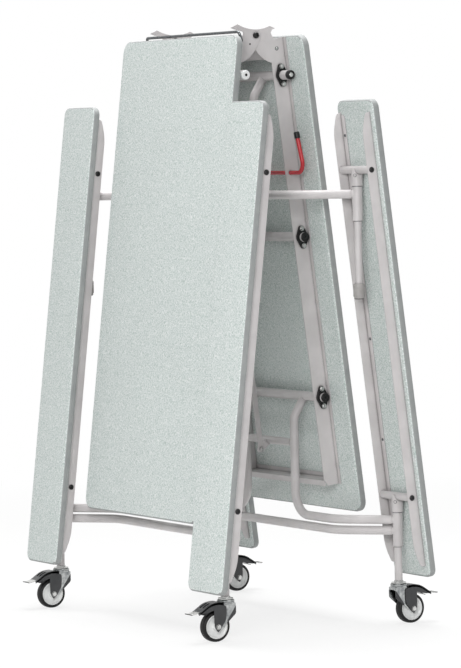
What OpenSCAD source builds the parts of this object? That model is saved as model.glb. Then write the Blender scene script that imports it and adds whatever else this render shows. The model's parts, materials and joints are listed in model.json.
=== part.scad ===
/* [Table] */
// Height of the table top above the floor when the table is open
table_h = 760; // [720:5:780]
// Width of the table top
table_w = 740; // [690:5:760]
// Length of each half of the table top
half_len = 1536; // [1500:2:1600]
// Thickness of the table boards
board_t = 25; // [18:1:28]
// Corner radius of the table boards
corner_r = 38; // [10:1:60]
// Lean of each half from the vertical when the table is folded
lean = 7; // [6:0.5:10]
// Gap between each board's inner end and the hinge axis
hinge_gap = 15; // [12:1:20]
// Drop of the hinge axis below the underside of the boards
hinge_drop = 104; // [98:1:110]

/* [Benches] */
// Height of the bench seats above the floor when the table is open
bench_h = 450; // [420:5:470]
// Width of each bench seat
bench_w = 212; // [200:2:260]
// Thickness of the bench boards
bench_t = 25; // [18:1:28]
// Corner radius of the bench boards
bench_corner_r = 28; // [10:1:40]
// Distance between the centre lines of the two benches
bench_spacing = 1090; // [1060:5:1150]
// Gap between a folded bench's lower corner and the level of the legs' lower ends
bench_gap = 12; // [10:1:20]
// Length of each bench between its end and its inner pivot tube
bench_inner_end = 217; // [200:1:230]
// Drop of the bench pivot tube below the bench board
bench_pivot_drop = 20; // [19:0.5:24]
// Depth of the bench rails
bench_rail_h = 35; // [33:1:45]
// Distance between the outer faces of a bench's two rails
bench_rail_spread = 172; // [150:2:190]
// Distance from a bench's end to the end of its rails
bench_rail_inset = 30; // [20:2:60]
// Wall of the bench rails
bench_rail_t = 3; // [2:0.5:4]
// Distance from a rail's end to its first screw
bench_screw_end = 80; // [60:5:120]
// Width of the bench rails' screw flange
bench_flange_w = 22; // [18:1:30]
// Diameter of the bench pivot tubes
bench_tube_d = 25; // [24:0.5:26]

/* [Aprons] */
// Depth of the table's side aprons
apron_h = 54; // [52:1:58]
// Wall of the side aprons
apron_t = 4; // [3:0.5:5]
// Width of the aprons' screw flange
apron_flange_w = 14; // [12:1:20]
// Thickness of the aprons' screw flange
apron_flange_t = 3; // [2:0.5:4]
// Distance from the table's centre line to the outer face of the right aprons
apron_y = 257.5; // [250:0.5:260]
// Gap between the hinge ears of the two halves
ear_gap = 1; // [0.6:0.1:2]
// Length of the board beyond the outer end of the aprons
apron_inset = 88; // [70:2:110]
// Radius of the boss round the hinge bolt
ear_boss_r = 18; // [16:1:20]
// Height of the hook tip on the right ears, above the hinge axis
hook_right = 77; // [74:0.5:78]
// Height of the hook tip on the left ears, above the hinge axis
hook_left = 94; // [88:0.5:95]
// Wall of the cross rails
rail_t = 3; // [2:0.5:4]
// Width of each flange of the cross rails
rail_flange_w = 17; // [14:1:20]
// Distance from the hinge axis to the inner cross rail's web
rail_in_u = 66; // [60:1:72]

/* [Pivots] */
// Drop of the leg frame shafts below the underside of the boards
shaft_drop = 26; // [25:0.5:28]
// Distance from the board's inner end to the inner shaft
shaft_in = 122; // [118:1:130]
// Distance from the board's outer end to the outer shaft
shaft_out = 374; // [360:2:400]
// Diameter of the shafts
shaft_d = 30; // [28:0.5:30]
// Wall of the shafts and frame tubes
tube_wall = 2; // [1.5:0.25:2.5]
// Radial running clearance of every pivot
run_fit = 0.05; // [0.03:0.01:0.09]
// Radial clearance of the pivots that close the linkage
open_fit = 0.3; // [0.2:0.05:0.5]
// Length of a flange bearing
bearing_l = 74; // [70:1:80]
// Width of a flange bearing
bearing_w = 40; // [38:1:42]
// Thickness of a bearing's flange
bearing_t = 9; // [7:1:12]
// Height of a bearing's hub over its flange
bearing_hub_h = 4; // [3:1:6]
// Distance between the two bolts of a bearing
bearing_bolts = 56; // [54:1:60]
// Length of a short shaft end beyond its bearing
shaft_end = 8; // [5:1:14]
// Length of the right inner shaft's ends beyond the apron
stub_right = 50; // [40:1:60]
// Length of the left inner shaft's ends beyond the apron
stub_left = 84; // [70:1:90]
// Length of the end caps and plugs on the inner shafts
stub_cap_l = 12; // [8:1:16]
// Length of the caps on the short shaft ends
shaft_cap_l = 5; // [4:1:8]
// Diameter of the hinge bolts
hinge_bolt_d = 12; // [10:1:14]

/* [Leg frames] */
// Diameter of the frame tubes
frame_d = 28; // [25:0.5:28]
// Distance from the table's centre line to each bent tube
bent_y = 152; // [140:2:165]
// Inward step of the bent tubes below their shaft
bent_step = 41; // [34:1:46]
// Drop of the bent tubes over that step
bent_step_h = 67; // [60:1:80]
// Distance from the table's centre line to the kinks of the lower tubes
kink_y = 395; // [385:1:405]
// Bend radius at the foot of the bent tubes
bend_r = 75; // [60:1:85]
// Bend radius of the kinks
kink_r = 110; // [80:5:130]
// Outward reach of the legs from their shaft
leg_reach = 96; // [90:1:100]
// Drop of the bent tubes' lower run below the bench pivot
run_drop = 75; // [72:1:80]
// Distance between the two lower runs of a caster frame
run_gap = 34; // [30:1:38]
// Drop of the cross brace below its shaft
brace_drop = 149; // [140:1:156]
// Diameter of the cross brace
brace_d = 25; // [22:0.5:26]
// Outside diameter of the leg sleeves
sleeve_d = 32; // [30:0.5:34]
// Length of the leg sleeves
sleeve_l = 109; // [100:1:130]
// Diameter of the lower leg tubes
leg_d = 25; // [24:0.5:26]
// Radial clearance of the lower leg tubes in their sleeves
leg_fit = 0.2; // [0.1:0.05:0.4]
// Diameter of the leg heads
head_d = 36; // [35:0.5:36]
// Drop of a leg head's lower end below the bench pivot
head_drop = 50; // [46:1:56]
// Height of a leg head's ears over the bench pivot
head_ear = 5; // [4:0.5:6]
// Outside diameter of the feet
foot_d = 37; // [34:0.5:40]
// Height of the feet
foot_h = 49; // [40:1:60]
// Thickness of the sole under the leg tube
foot_sole = 12; // [8:1:16]

/* [Drag link] */
// Inward offset of the drag link's pins from their shafts
link_x = 77; // [70:1:84]
// Drop of the drag link's pins below their shafts
link_z = 178; // [165:1:190]
// Width of the drag link
link_w = 18; // [16:1:22]
// Thickness of the drag link
link_t = 5; // [4:0.5:6]
// Thickness of the crank and of the bracket plates
crank_t = 6; // [5:0.5:8]
// Diameter of the drag link's pins
link_pin_d = 8; // [6:0.5:10]

/* [Casters] */
// Diameter of the caster wheels
wheel_d = 95; // [90:1:98]
// Width of the caster wheels' tyres
wheel_w = 30; // [26:1:32]
// Diameter of the wheel centres
hub_d = 75; // [68:1:78]
// Trail of the wheels behind their stems
trail = 40; // [36:1:44]
// Height of the legs' lower ends above the floor
caster_h = 138; // [136:1:142]
// Diameter of the caster heads
caster_head_d = 55; // [50:1:56]
// Height of the caster heads
caster_head_h = 13; // [11:1:15]
// Drop of the caster heads' swivel gap below the legs' lower ends
swivel_drop = 9; // [8:1:11]
// Length of the caster stems inside the legs
stem_l = 52; // [40:1:60]
// Diameter of the caster stems' collar
stem_collar_d = 30; // [28:1:34]
// Diameter of the caster axles
axle_d = 10; // [8:0.5:12]
// Thickness of the fork's side plates
fork_t = 2.5; // [2:0.25:3]
// Reach of the brake pedal from the caster's stem
pedal_reach = 135; // [125:1:140]

/* [Release handle and latch] */
// Diameter of the release handle's rod
handle_d = 12; // [10:0.5:13]
// Distance from the hinge axis to the release handle's rod
handle_u = 448; // [420:2:480]
// Height of the release handle's rod over the hinge axis
handle_n = 67; // [64:1:70]
// Length of the release handle's rod beyond the near apron
handle_out = 71; // [60:1:80]
// Length of the release handle's lever
handle_lever = 112; // [90:2:130]
// Length of the grip cap on the lever
handle_cap_l = 28; // [20:1:36]
// Diameter of the latch bail's rod
bail_d = 8; // [6:0.5:8]
// Height of the latch bail's rod over the hinge axis
bail_n = 84; // [84:0.5:86]
// Half of the latch bail's length
bail_y = 284; // [280:1:290]

/* [Hidden] */
$fn = 64;

// colours
speckled_laminate = [0.80, 0.84, 0.82];
warm_grey_paint = [0.77, 0.75, 0.75];
black_plastic = [0.08, 0.08, 0.08];
bright_zinc = [0.78, 0.78, 0.76];
dark_rod = [0.28, 0.30, 0.30];
release_red = [0.72, 0.14, 0.16];
foot_grey = [0.62, 0.61, 0.60];
white_plastic = [0.92, 0.92, 0.90];
brake_grey = [0.24, 0.24, 0.25];
tyre_black = [0.07, 0.07, 0.07];

// places along a half, measured out from the hinge axis (u) and up from it (n)
u_in = hinge_gap + shaft_in;
u_out = hinge_gap + half_len - shaft_out;
u_mid = (u_in + u_out) / 2;
u_end = hinge_gap + half_len - apron_inset;
n_shaft = hinge_drop - shaft_drop;
n_low = hinge_drop - apron_h;

// heights and places of the folded table
pivot_z = table_h - board_t - shaft_drop;
hinge_z = pivot_z + u_out * cos(lean) - n_shaft * sin(lean);
bench_pivot_z = bench_h - bench_t - bench_pivot_drop;
pivot_fall = pivot_z - bench_pivot_z;
function half_point(u, n) =
    [u * sin(lean) + n * cos(lean), 0, hinge_z - u * cos(lean) + n * sin(lean)];
shaft_in_at = half_point(u_in, n_shaft);
shaft_out_at = half_point(u_out, n_shaft);
shaft_mid_at = half_point(u_mid, n_shaft);
leg_in_x = shaft_in_at.x + leg_reach;
leg_out_x = shaft_out_at.x + leg_reach;
bench_y = bench_spacing / 2;
bench_outer_end = (bench_pivot_z + bench_pivot_drop * sin(lean) - caster_h - bench_gap) / cos(lean);
bench_len = bench_inner_end + u_out - u_in + bench_outer_end;

// levels below a shaft on the leg frames
run_z = -pivot_fall - run_drop;
head_z = -pivot_fall - head_drop;
head_plug_l = 20;
leg_wall = 1.8;

// widths that depend on the side
function web_y(side) = apron_y + (side > 0 ? 0 : apron_t + ear_gap);
function bearing_y(side) = web_y(side) + bearing_t + bearing_hub_h;
shaft_bore_r = shaft_d / 2 + run_fit;
bearing_bolt_d = 8;
bearing_bolt_head_d = 13;
bearing_bolt_head_h = 5;
screw_d = 5;
screw_head_d = 9;
screw_head_h = 2.5;
screw_depth = 12;
flange_screws = 6;
flange_screw_end = 60;
rail_screw_y = 170;
ear_bolt = [rail_in_u - 15, hinge_drop - 30];
ear_bolt_d = 8;
ear_hole = [30, 18];
ear_hole_d = 6;
rail_plate = [[ear_bolt.x - 9, ear_bolt.x + 33], [n_low + 6, hinge_drop - 3]];

// caster levels
axle_z = wheel_d / 2;
swivel_z = caster_h - swivel_drop;
fork_y = 17.5;
fork_eye_r = 11;
swivel_gap = 0.3;
pedal_t = 2.2;
pedal_gap = 0.4;
pedal_y = fork_y + fork_t + pedal_gap;
axle_end_y = pedal_y + pedal_t + pedal_gap;

// length that a bend takes off the runs on either side of its corner
function corner_length(step) = step[1] * tan(step[2] / 2);
function arc_points(c, r, a0, a1, steps) =
    [for (i = [0:steps]) c + r * [cos(a0 + (a1 - a0) * i / steps), sin(a0 + (a1 - a0) * i / steps)]];

// A round bar that starts up Z. Each step is the length to the next corner and that corner's
// bend radius, turn, and spin round the bar from +X to the side it turns to. A run and a bend
// meet inside a collar a hair wider than the bar.
module bent_bar(steps, d, i = 0) {
    is_first = i == 0;
    is_last = i == len(steps) - 1;
    run = steps[i][0] - (is_first ? 0 : corner_length(steps[i - 1])) - (is_last ? 0 : corner_length(steps[i]));
    start = is_first ? 0 : 0.8 * collar_l;
    end = is_last ? run : run - 0.8 * collar_l;
    translate([0, 0, start]) cylinder(d = d, h = end - start, $fn = 36);
    if (!is_first) cylinder(d = d + collar_step, h = collar_l, $fn = 36);
    if (!is_last) {
        r = steps[i][1];
        turn = steps[i][2];
        lap = 0.5 * collar_l / r * 180 / PI;
        translate([0, 0, run - collar_l]) cylinder(d = d + collar_step, h = collar_l, $fn = 36);
        translate([0, 0, run]) rotate(steps[i][3]) translate([r, 0, 0]) {
            rotate([90, 0, 180]) rotate(-lap) rotate_extrude(angle = turn + 2 * lap, $fn = 24)
                translate([r, 0]) circle(d = d, $fn = 36);
            rotate([0, turn, 0]) translate([-r, 0, 0]) bent_bar(steps, d, i + 1);
        }
    }
}
collar_l = 1;
collar_step = 0.1;

module rod_y(r, y0, y1) {
    translate([0, y1, 0]) rotate([90, 0, 0]) cylinder(r = r, h = y1 - y0);
}

// an outline drawn in X and Z, made t thick from y = 0 towards +Y
module plate_y(t) {
    translate([0, t, 0]) rotate([90, 0, 0]) linear_extrude(t) children();
}

// outline of two discs and their common tangents
module link_outline(p, r0, q, r1) {
    d = norm(q - p);
    x = (q - p) / d;
    y = [-x.y, x.x];
    sine = (r0 - r1) / d;
    cosine = sqrt(1 - sine * sine);
    polygon([p + r0 * (x * sine + y * cosine), q + r1 * (x * sine + y * cosine),
        q + r1 * (x * sine - y * cosine), p + r0 * (x * sine - y * cosine)]);
    translate(p) circle(r = r0);
    translate(q) circle(r = r1);
}

module rounded_plate(l, w, t, r) {
    linear_extrude(t) {
        translate([0, -w / 2 + r]) square([l, w - 2 * r]);
        translate([r, -w / 2]) square([l - 2 * r, w]);
        for (x = [r, l - r], y = [-w / 2 + r, w / 2 - r]) translate([x, y]) circle(r = r);
    }
}

// puts what is drawn flat and open, from the hinge axis out along +X, on the folded half
module on_half(side) {
    mirror([side > 0 ? 0 : 1, 0, 0]) translate([0, 0, hinge_z]) rotate([0, 90 - lean, 0]) children();
}

module on_side(side) {
    mirror([side > 0 ? 0 : 1, 0, 0]) children();
}

module on_bench(side, y) {
    on_side(side) translate([shaft_in_at.x + leg_reach, y, shaft_in_at.z - pivot_fall])
        rotate([0, 90 - lean, 0]) translate([-bench_inner_end, 0, 0]) children();
}
bench_tubes_at = [bench_inner_end, bench_inner_end + u_out - u_in];

// screws that hold the aprons and cross rails to the board, as [u, y]
flange_screw_step = (u_end - hinge_gap - 2 * flange_screw_end) / (flange_screws - 1);
function flange_screw_at(side) = [for (i = [0:flange_screws - 1], s = [-1, 1])
    [hinge_gap + flange_screw_end + i * flange_screw_step, s * (web_y(side) + apron_flange_w / 2)]];
function rail_screw_at() = [for (s = [-1, 0, 1])
    each [[rail_in_u - rail_flange_w / 2 + rail_t, s * rail_screw_y], [u_end - rail_flange_w * 1.5, s * rail_screw_y]]];

module screws_at(side, r, depth) {
    for (p = concat(flange_screw_at(side), rail_screw_at()))
        translate([p.x, p.y, hinge_drop - apron_flange_t]) cylinder(r = r, h = depth);
}

module top(side) {
    color(speckled_laminate) on_half(side) difference() {
        translate([hinge_gap, 0, hinge_drop]) rounded_plate(half_len, table_w, board_t, corner_r);
        screws_at(side, screw_d / 2, screw_depth + apron_flange_t);
    }
}

ear_sweep = [3, hinge_drop - 20];
// outline of an apron, from the hook ear at the hinge to its angled outer end
module apron_outline(tip, floor_n) {
    ear_end = u_in - bearing_l / 2 - 6;
    difference() {
        union() {
            circle(r = ear_boss_r);
            polygon(concat(
                [[-ear_boss_r, 0], [-ear_boss_r - 10, 0], [-ear_boss_r - 10, tip - 24], [-24, tip - 20],
                 [-hinge_gap + 2, tip], [-10, tip - 13], [-6, floor_n + 4], [-2, floor_n], [10, floor_n + 4],
                 [hinge_gap + 3, floor_n + 10], [hinge_gap + 3, hinge_drop], [u_end, hinge_drop],
                 [u_end, n_low + 12], [u_end - 22, n_low], [ear_end, n_low]],
                arc_points(ear_sweep, norm([ear_end, n_low] - ear_sweep),
                    -atan2(ear_sweep.y - n_low, ear_end - ear_sweep.x), -67, 10),
                [[22, -12.5], [5, -ear_boss_r + 0.7]]));
        }
        translate([-ear_boss_r - 139.4, 19]) circle(r = 140);
        circle(d = hinge_bolt_d);
    }
}

module apron(side) {
    web = web_y(side);
    tip = side > 0 ? hook_right : hook_left;
    notch = side > 0 ? hook_right - 18 : n_low - 6;
    difference() {
        union() {
            translate([0, web - apron_t, 0]) plate_y(apron_t) apron_outline(tip, notch);
            translate([hinge_gap + 3, web - 1, hinge_drop - apron_flange_t])
                cube([u_end - hinge_gap - 3, apron_flange_w + 1, apron_flange_t]);
        }
        for (u = [u_in, u_mid, u_out]) translate([u, 0, n_shaft]) {
            rod_y(shaft_d / 2 + 1, web - apron_t - 1, web + 1);
            for (s = [-1, 1]) translate([s * bearing_bolts / 2, 0, 0])
                rod_y(bearing_bolt_d / 2, web - apron_t - 1, web + 1);
        }
        translate([ear_bolt.x, 0, ear_bolt.y]) rod_y(ear_bolt_d / 2, web - apron_t - 1, web + 1);
        if (side > 0) {
            rod_y(hinge_bolt_d / 2 + run_fit, web - apron_t - 1, web + 1);
            translate([handle_u, 0, handle_n]) rod_y(handle_d / 2 + run_fit, web - apron_t - 1, web + 1);
        } else {
            translate([bail_pivot.x, 0, bail_pivot.y]) rod_y(bail_d / 2 + run_fit, web - apron_t - 1, web + 1);
            translate([ear_hole.x, 0, ear_hole.y]) rod_y(ear_hole_d / 2, web - apron_t - 1, web + 1);
        }
        screws_at(side, screw_d / 2, apron_flange_t);
    }
}

module aprons(side) {
    color(warm_grey_paint) on_half(side) for (m = [0, 1]) mirror([0, m, 0]) apron(side);
}

// Z section of a cross rail, with its web at u = 0 and its lip towards +X
module rail_section() {
    polygon([[-rail_flange_w + rail_t, hinge_drop - rail_t], [0, hinge_drop - rail_t], [0, n_low + 2],
        [rail_flange_w, n_low + 2], [rail_flange_w, n_low + 2 + rail_t], [rail_t, n_low + 2 + rail_t],
        [rail_t, hinge_drop], [-rail_flange_w + rail_t, hinge_drop]]);
}

module cross_rails(side) {
    inner = web_y(side) - apron_t;
    color(warm_grey_paint) on_half(side) difference() {
        union() {
            for (u = [rail_in_u, u_end - rail_flange_w])
                translate([u, -inner, 0]) plate_y(2 * inner) rail_section();
            for (s = [-1, 1]) translate([rail_plate.x[0], s > 0 ? inner - rail_t : -inner, rail_plate.y[0]])
                cube([rail_plate.x[1] - rail_plate.x[0], rail_t, rail_plate.y[1] - rail_plate.y[0]]);
        }
        translate([ear_bolt.x, 0, ear_bolt.y]) rod_y(ear_bolt_d / 2, -inner - 1, inner + 1);
        screws_at(side, screw_d / 2, apron_flange_t);
    }
}

// oval two-bolt flange bearing, flange on the web and bore along Y
module bearing(side) {
    lobe = (bearing_l - bearing_bolts) / 2;
    difference() {
        union() {
            plate_y(bearing_t) for (s = [-1, 1])
                link_outline([0, 0], bearing_w / 2, [s * bearing_bolts / 2, 0], lobe);
            rod_y(bearing_w / 2 - 1, 0, bearing_t + bearing_hub_h);
        }
        rod_y(shaft_bore_r, -1, bearing_t + bearing_hub_h + 1);
        for (s = [-1, 1]) translate([s * bearing_bolts / 2, 0, 0]) rod_y(bearing_bolt_d / 2, -1, bearing_t + 1);
    }
}

module bearings(side) {
    color(black_plastic) on_half(side) for (m = [0, 1]) mirror([0, m, 0])
        for (u = [u_in, u_mid, u_out]) translate([u, web_y(side), n_shaft]) bearing(side);
}

module bearing_bolt(side) {
    seat = web_y(side) + bearing_t;
    rod_y(bearing_bolt_d / 2, web_y(side) - apron_t, seat);
    rod_y(bearing_bolt_head_d / 2, seat, seat + bearing_bolt_head_h);
    rod_y(bearing_bolt_head_d / 2, web_y(side) - apron_t - bearing_bolt_head_h, web_y(side) - apron_t);
}

module fasteners(side) {
    color(bright_zinc) on_half(side) {
        for (m = [0, 1]) mirror([0, m, 0]) {
            for (u = [u_in, u_mid, u_out], s = [-1, 1])
                translate([u + s * bearing_bolts / 2, 0, n_shaft]) bearing_bolt(side);
            translate([ear_bolt.x, 0, ear_bolt.y]) {
                rod_y(ear_bolt_d / 2, web_y(side) - apron_t - rail_t, web_y(side));
                rod_y(ear_bolt_d / 2 + 2.5, web_y(side), web_y(side) + (side > 0 ? ear_gap / 2 : 3));
                rod_y(ear_bolt_d / 2 + 2.5, web_y(side) - apron_t - rail_t - 5, web_y(side) - apron_t - rail_t);
            }
        }
        screws_at(side, screw_d / 2, screw_depth + apron_flange_t);
        for (p = concat(flange_screw_at(side), rail_screw_at()))
            translate([p.x, p.y, hinge_drop - apron_flange_t - screw_head_h])
                cylinder(d = screw_head_d, h = screw_head_h);
    }
}

// arm from a shaft's axis to the drag link's pin, with the pin on it
module crank_arm() {
    pin = [-link_x, -link_z];
    translate([0, link_t / 2 + pedal_gap, 0]) plate_y(crank_t)
        link_outline([0, 0], shaft_d / 2 + 6, pin, link_w / 2 + 1);
    translate([pin.x, 0, pin.y]) link_pin();
}

module link_pin() {
    side_y = link_t / 2 + pedal_gap;
    rod_y(link_pin_d / 2, -side_y - 1, side_y + crank_t);
    rod_y(link_pin_d / 2 + 3, -side_y - 5, -side_y);
}

module mid_shaft(side) {
    end = bearing_y(side) + shaft_end;
    color(warm_grey_paint) on_side(side) translate(shaft_mid_at) {
        difference() {
            union() {
                rod_y(shaft_d / 2, -end, end);
                crank_arm();
            }
            rod_y(shaft_d / 2 - tube_wall, -end - 1, end + 1);
        }
    }
}

module drag_link(side) {
    low = shaft_out_at - [link_x, 0, link_z];
    high = shaft_mid_at - [link_x, 0, link_z];
    color(warm_grey_paint) on_side(side) translate(low) rotate([0, -90 - lean, 0]) difference() {
        translate([0, -link_t / 2, 0]) {
            cube([norm(high - low), link_t, link_w / 2]);
            translate([0, 0, -link_w / 2]) cube([norm(high - low), link_t, link_w / 2]);
            for (x = [0, norm(high - low)]) translate([x, link_t / 2, 0]) rod_y(link_w / 2, -link_t / 2, link_t / 2);
        }
        rod_y(link_pin_d / 2 + run_fit, -link_t, link_t);
        translate([norm(high - low), 0, 0]) rod_y(link_pin_d / 2 + open_fit, -link_t, link_t);
    }
}

module release_handle() {
    far = -web_y(1) + apron_t + 4;
    y_lever = -web_y(1) - handle_out;
    color(release_red) on_half(1) translate([handle_u, -far, handle_n]) rotate([90, 0, 0])
        bent_bar([[-far - y_lever, 22, 90, 180], [handle_lever]], handle_d);
}

module handle_cap() {
    y_lever = -web_y(1) - handle_out;
    color(black_plastic) on_half(1) translate([handle_u - handle_lever, y_lever, handle_n]) rotate([0, -90, 0])
        difference() {
            translate([0, 0, -handle_cap_l / 2]) {
                cylinder(d = handle_d + 4, h = handle_cap_l - 3);
                translate([0, 0, handle_cap_l - 3]) cylinder(d1 = handle_d + 4, d2 = handle_d, h = 3);
            }
            translate([0, 0, -handle_cap_l]) cylinder(d = handle_d, h = handle_cap_l);
        }
}

bail_pivot = [28, bail_n - 16];
bail_splay = [12, 14];
module latch_bail() {
    start = web_y(-1) - apron_t + 0.2;
    pin = bail_y + bail_splay.y - start;
    splay = atan2(bail_splay.y, bail_splay.x);
    rise = atan2(bail_n - bail_pivot.y, bail_pivot.x);
    arm = norm([bail_pivot.x, bail_n - bail_pivot.y]);
    color(dark_rod) on_half(-1) translate([bail_pivot.x, -start, bail_pivot.y]) rotate([0, rise, 0]) rotate([90, 0, 0])
        bent_bar([[pin, 8, 90, 180], [arm - bail_splay.x, 8, splay, 0], [norm(bail_splay), 8, 90 - splay, 0],
            [2 * bail_y, 8, 90 - splay, 0], [norm(bail_splay), 8, splay, 0],
            [arm - bail_splay.x, 8, 90, 0], [pin]], bail_d);
}

module hinge_bolts() {
    color(black_plastic) on_half(-1) for (m = [0, 1]) mirror([0, m, 0]) {
        rod_y(hinge_bolt_d / 2, apron_y - apron_t - 6, web_y(-1));
        difference() {
            rod_y(hinge_bolt_d / 2 + 4, web_y(-1), web_y(-1) + 8);
            rod_y(3, web_y(-1) + 3, web_y(-1) + 9);
        }
        rod_y(hinge_bolt_d / 2 + 4, apron_y - apron_t - 10, apron_y - apron_t - 0.5);
    }
}

// the bent tubes and cross brace of a leg frame round its shaft's axis, drawn less thinner
module frame_tubes(is_outer, less) {
    d = frame_d - less;
    step_turn = atan2(bent_step, bent_step_h);
    kink = [leg_reach + bent_step, bench_y - kink_y];
    kink_turn = atan2(kink.x, kink.y);
    for (s = [-1, 1]) translate([0, s * bent_y, 0]) rotate([0, 180 + step_turn, 0])
        bent_bar([[norm([bent_step, bent_step_h]), 50, step_turn, 180], [-bent_step_h - run_z, bend_r, 90, -90 * s],
            [kink_y - bent_y, kink_r, kink_turn, 90 * s], [norm(kink)]], d);
    if (is_outer) translate([leg_reach, -bench_y, run_z - run_gap]) rotate([-90, 0, kink_turn])
        bent_bar([[norm(kink), kink_r, kink_turn, 0], [2 * kink_y, kink_r, kink_turn, 0], [norm(kink)]], d);
    translate([-bent_step, 0, -brace_drop]) rod_y((brace_d - less) / 2, -bent_y, bent_y);
}

module leg_sleeves(d, l) {
    for (s = [-1, 1]) translate([leg_reach, s * bench_y, head_z - sleeve_l / 2])
        cylinder(d = d, h = l, center = true);
}

module leg_frame(half_shaft, is_outer) {
    difference() {
        union() {
            frame_tubes(is_outer, 0);
            leg_sleeves(sleeve_d, sleeve_l);
            if (is_outer) link_bracket();
        }
        frame_tubes(is_outer, 2 * tube_wall);
        leg_sleeves(leg_d + 2 * leg_fit, sleeve_l + 2);
        rod_y(shaft_d / 2 - 0.5, -bent_y - frame_d, bent_y + frame_d);
    }
    difference() {
        rod_y(shaft_d / 2, -half_shaft, half_shaft);
        rod_y(shaft_d / 2 - tube_wall, -half_shaft - 1, half_shaft + 1);
    }
}

// plate on the cross brace that carries the drag link's lower pin
module link_bracket() {
    translate([0, link_t / 2 + pedal_gap, 0]) plate_y(crank_t)
        link_outline([-bent_step, -brace_drop], brace_d / 2 - 2, [-link_x, -link_z], link_w / 2 + 1);
    translate([-link_x, 0, -link_z]) link_pin();
}

// leg tube down to foot_z with its welded head, the saddle that the bench tube turns in
module leg(foot_z, clearance) {
    r = head_d / 2;
    top_z = head_z - head_plug_l;
    translate([leg_reach, 0, 0]) difference() {
        union() {
            translate([0, 0, foot_z]) cylinder(d = leg_d, h = head_z - foot_z + 1);
            intersection() {
                translate([0, 0, head_z]) cylinder(r = r, h = head_drop + head_ear);
                translate([-r - 1, 0, -pivot_fall]) rotate([90, 0, 90]) linear_extrude(head_d + 2)
                    polygon([[-r - 1, -head_drop - 1], [r + 1, -head_drop - 1], [r + 1, -20],
                        [r - 3, -14], [6, head_ear + 1], [-6, head_ear + 1], [-r + 3, -14], [-r - 1, -20]]);
            }
        }
        translate([0, 0, foot_z - 1]) cylinder(d = leg_d - 2 * leg_wall, h = top_z - foot_z + 1);
        translate([0, 0, -pivot_fall]) rod_y(bench_tube_d / 2 + clearance, -r - 1, r + 1);
    }
}

module foot() {
    translate([leg_reach, 0, -pivot_z]) difference() {
        union() {
            cylinder(d1 = foot_d - 5, d2 = foot_d, h = 6);
            translate([0, 0, 6]) cylinder(d = foot_d, h = foot_h - 9);
            translate([0, 0, foot_h - 3]) cylinder(d1 = foot_d, d2 = foot_d - 4, h = 3);
        }
        translate([0, 0, foot_sole]) cylinder(d = leg_d, h = foot_h);
    }
}

module at_legs(side, shaft_at) {
    on_side(side) translate(shaft_at) for (s = [-1, 1]) translate([0, s * bench_y, 0]) children();
}

module caster_frame(side) {
    color(warm_grey_paint) on_side(side) translate(shaft_out_at) leg_frame(bearing_y(side) + shaft_end, true);
}

module inner_frame(side) {
    stub = side > 0 ? stub_right : stub_left;
    color(warm_grey_paint) on_side(side) translate(shaft_in_at) leg_frame(web_y(side) + stub, false);
}

module caster_legs(side) {
    color(warm_grey_paint) at_legs(side, shaft_out_at) leg(caster_h - pivot_z, run_fit);
}

module inner_legs(side) {
    color(warm_grey_paint) at_legs(side, shaft_in_at) leg(foot_sole - pivot_z, open_fit);
}

module feet(side) {
    color(foot_grey) at_legs(side, shaft_in_at) foot();
}

// cap l long on each end of a shaft, seated in the tube's bore, with a blind hole bore_d wide
module shaft_end_piece(at_y, l, bore_d) {
    for (m = [0, 1]) mirror([0, m, 0]) difference() {
        union() {
            rod_y(shaft_d / 2 - tube_wall, at_y - 15, at_y);
            rod_y(shaft_d / 2, at_y, at_y + l - 2);
            rod_y(shaft_d / 2 - 2, at_y + l - 2, at_y + l);
        }
        rod_y(bore_d / 2, at_y + 2, at_y + l + 1);
    }
}

module shaft_caps_right() {
    color(black_plastic) translate(shaft_in_at) shaft_end_piece(web_y(1) + stub_right, stub_cap_l, 13);
}

module shaft_plugs_left() {
    color(white_plastic) on_side(-1) translate(shaft_in_at) shaft_end_piece(web_y(-1) + stub_left, stub_cap_l, 8);
}

module short_caps(side, at) {
    color(black_plastic) on_side(side) translate(at) shaft_end_piece(bearing_y(side) + shaft_end, shaft_cap_l, 10);
}

module bench_boards(side) {
    for (y = [-bench_y, bench_y]) color(speckled_laminate) on_bench(side, y) difference() {
        translate([0, 0, bench_pivot_drop]) rounded_plate(bench_len, bench_w, bench_t, bench_corner_r);
        bench_screws(screw_depth);
    }
}

bench_screw_count = 5;
bench_screw_step = (bench_len - 2 * bench_rail_inset - 2 * bench_screw_end) / (bench_screw_count - 1);
module at_bench_screws() {
    for (i = [0:bench_screw_count - 1], s = [-1, 1])
        translate([bench_rail_inset + bench_screw_end + i * bench_screw_step,
            s * (bench_rail_spread / 2 - bench_flange_w + 7), bench_pivot_drop - bench_rail_t]) children();
}

module bench_screws(depth) {
    at_bench_screws() cylinder(d = screw_d, h = depth + bench_rail_t);
}

// side of a bench rail, with its tapered and rounded ends
module bench_rail_side() {
    l = bench_len - 2 * bench_rail_inset;
    h = bench_rail_h;
    nose = 9;
    sweep = [for (p = concat(arc_points([nose, nose], nose, 180, 262, 5), [[h * 0.7, h * 0.42]],
        arc_points([h * 1.5, h * 0.55], h * 0.45, 118, 90, 3))) [p.x, -p.y]];
    polygon(concat([[0, 0]], sweep, [for (i = [len(sweep) - 1:-1:0]) [l - sweep[i].x, sweep[i].y]], [[l, 0]]));
}

module bench_rail() {
    y = bench_rail_spread / 2;
    l = bench_len - 2 * bench_rail_inset;
    difference() {
        union() {
            translate([bench_rail_inset, y - bench_rail_t, bench_pivot_drop]) plate_y(bench_rail_t) bench_rail_side();
            translate([bench_rail_inset + 6, y - bench_flange_w, bench_pivot_drop - bench_rail_t])
                cube([l - 12, bench_flange_w - bench_rail_t + 0.5, bench_rail_t]);
        }
        for (x = bench_tubes_at) translate([x, 0, 0]) rod_y(5, y - bench_rail_t - 1, y + 1);
        bench_screws(1);
    }
}

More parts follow.
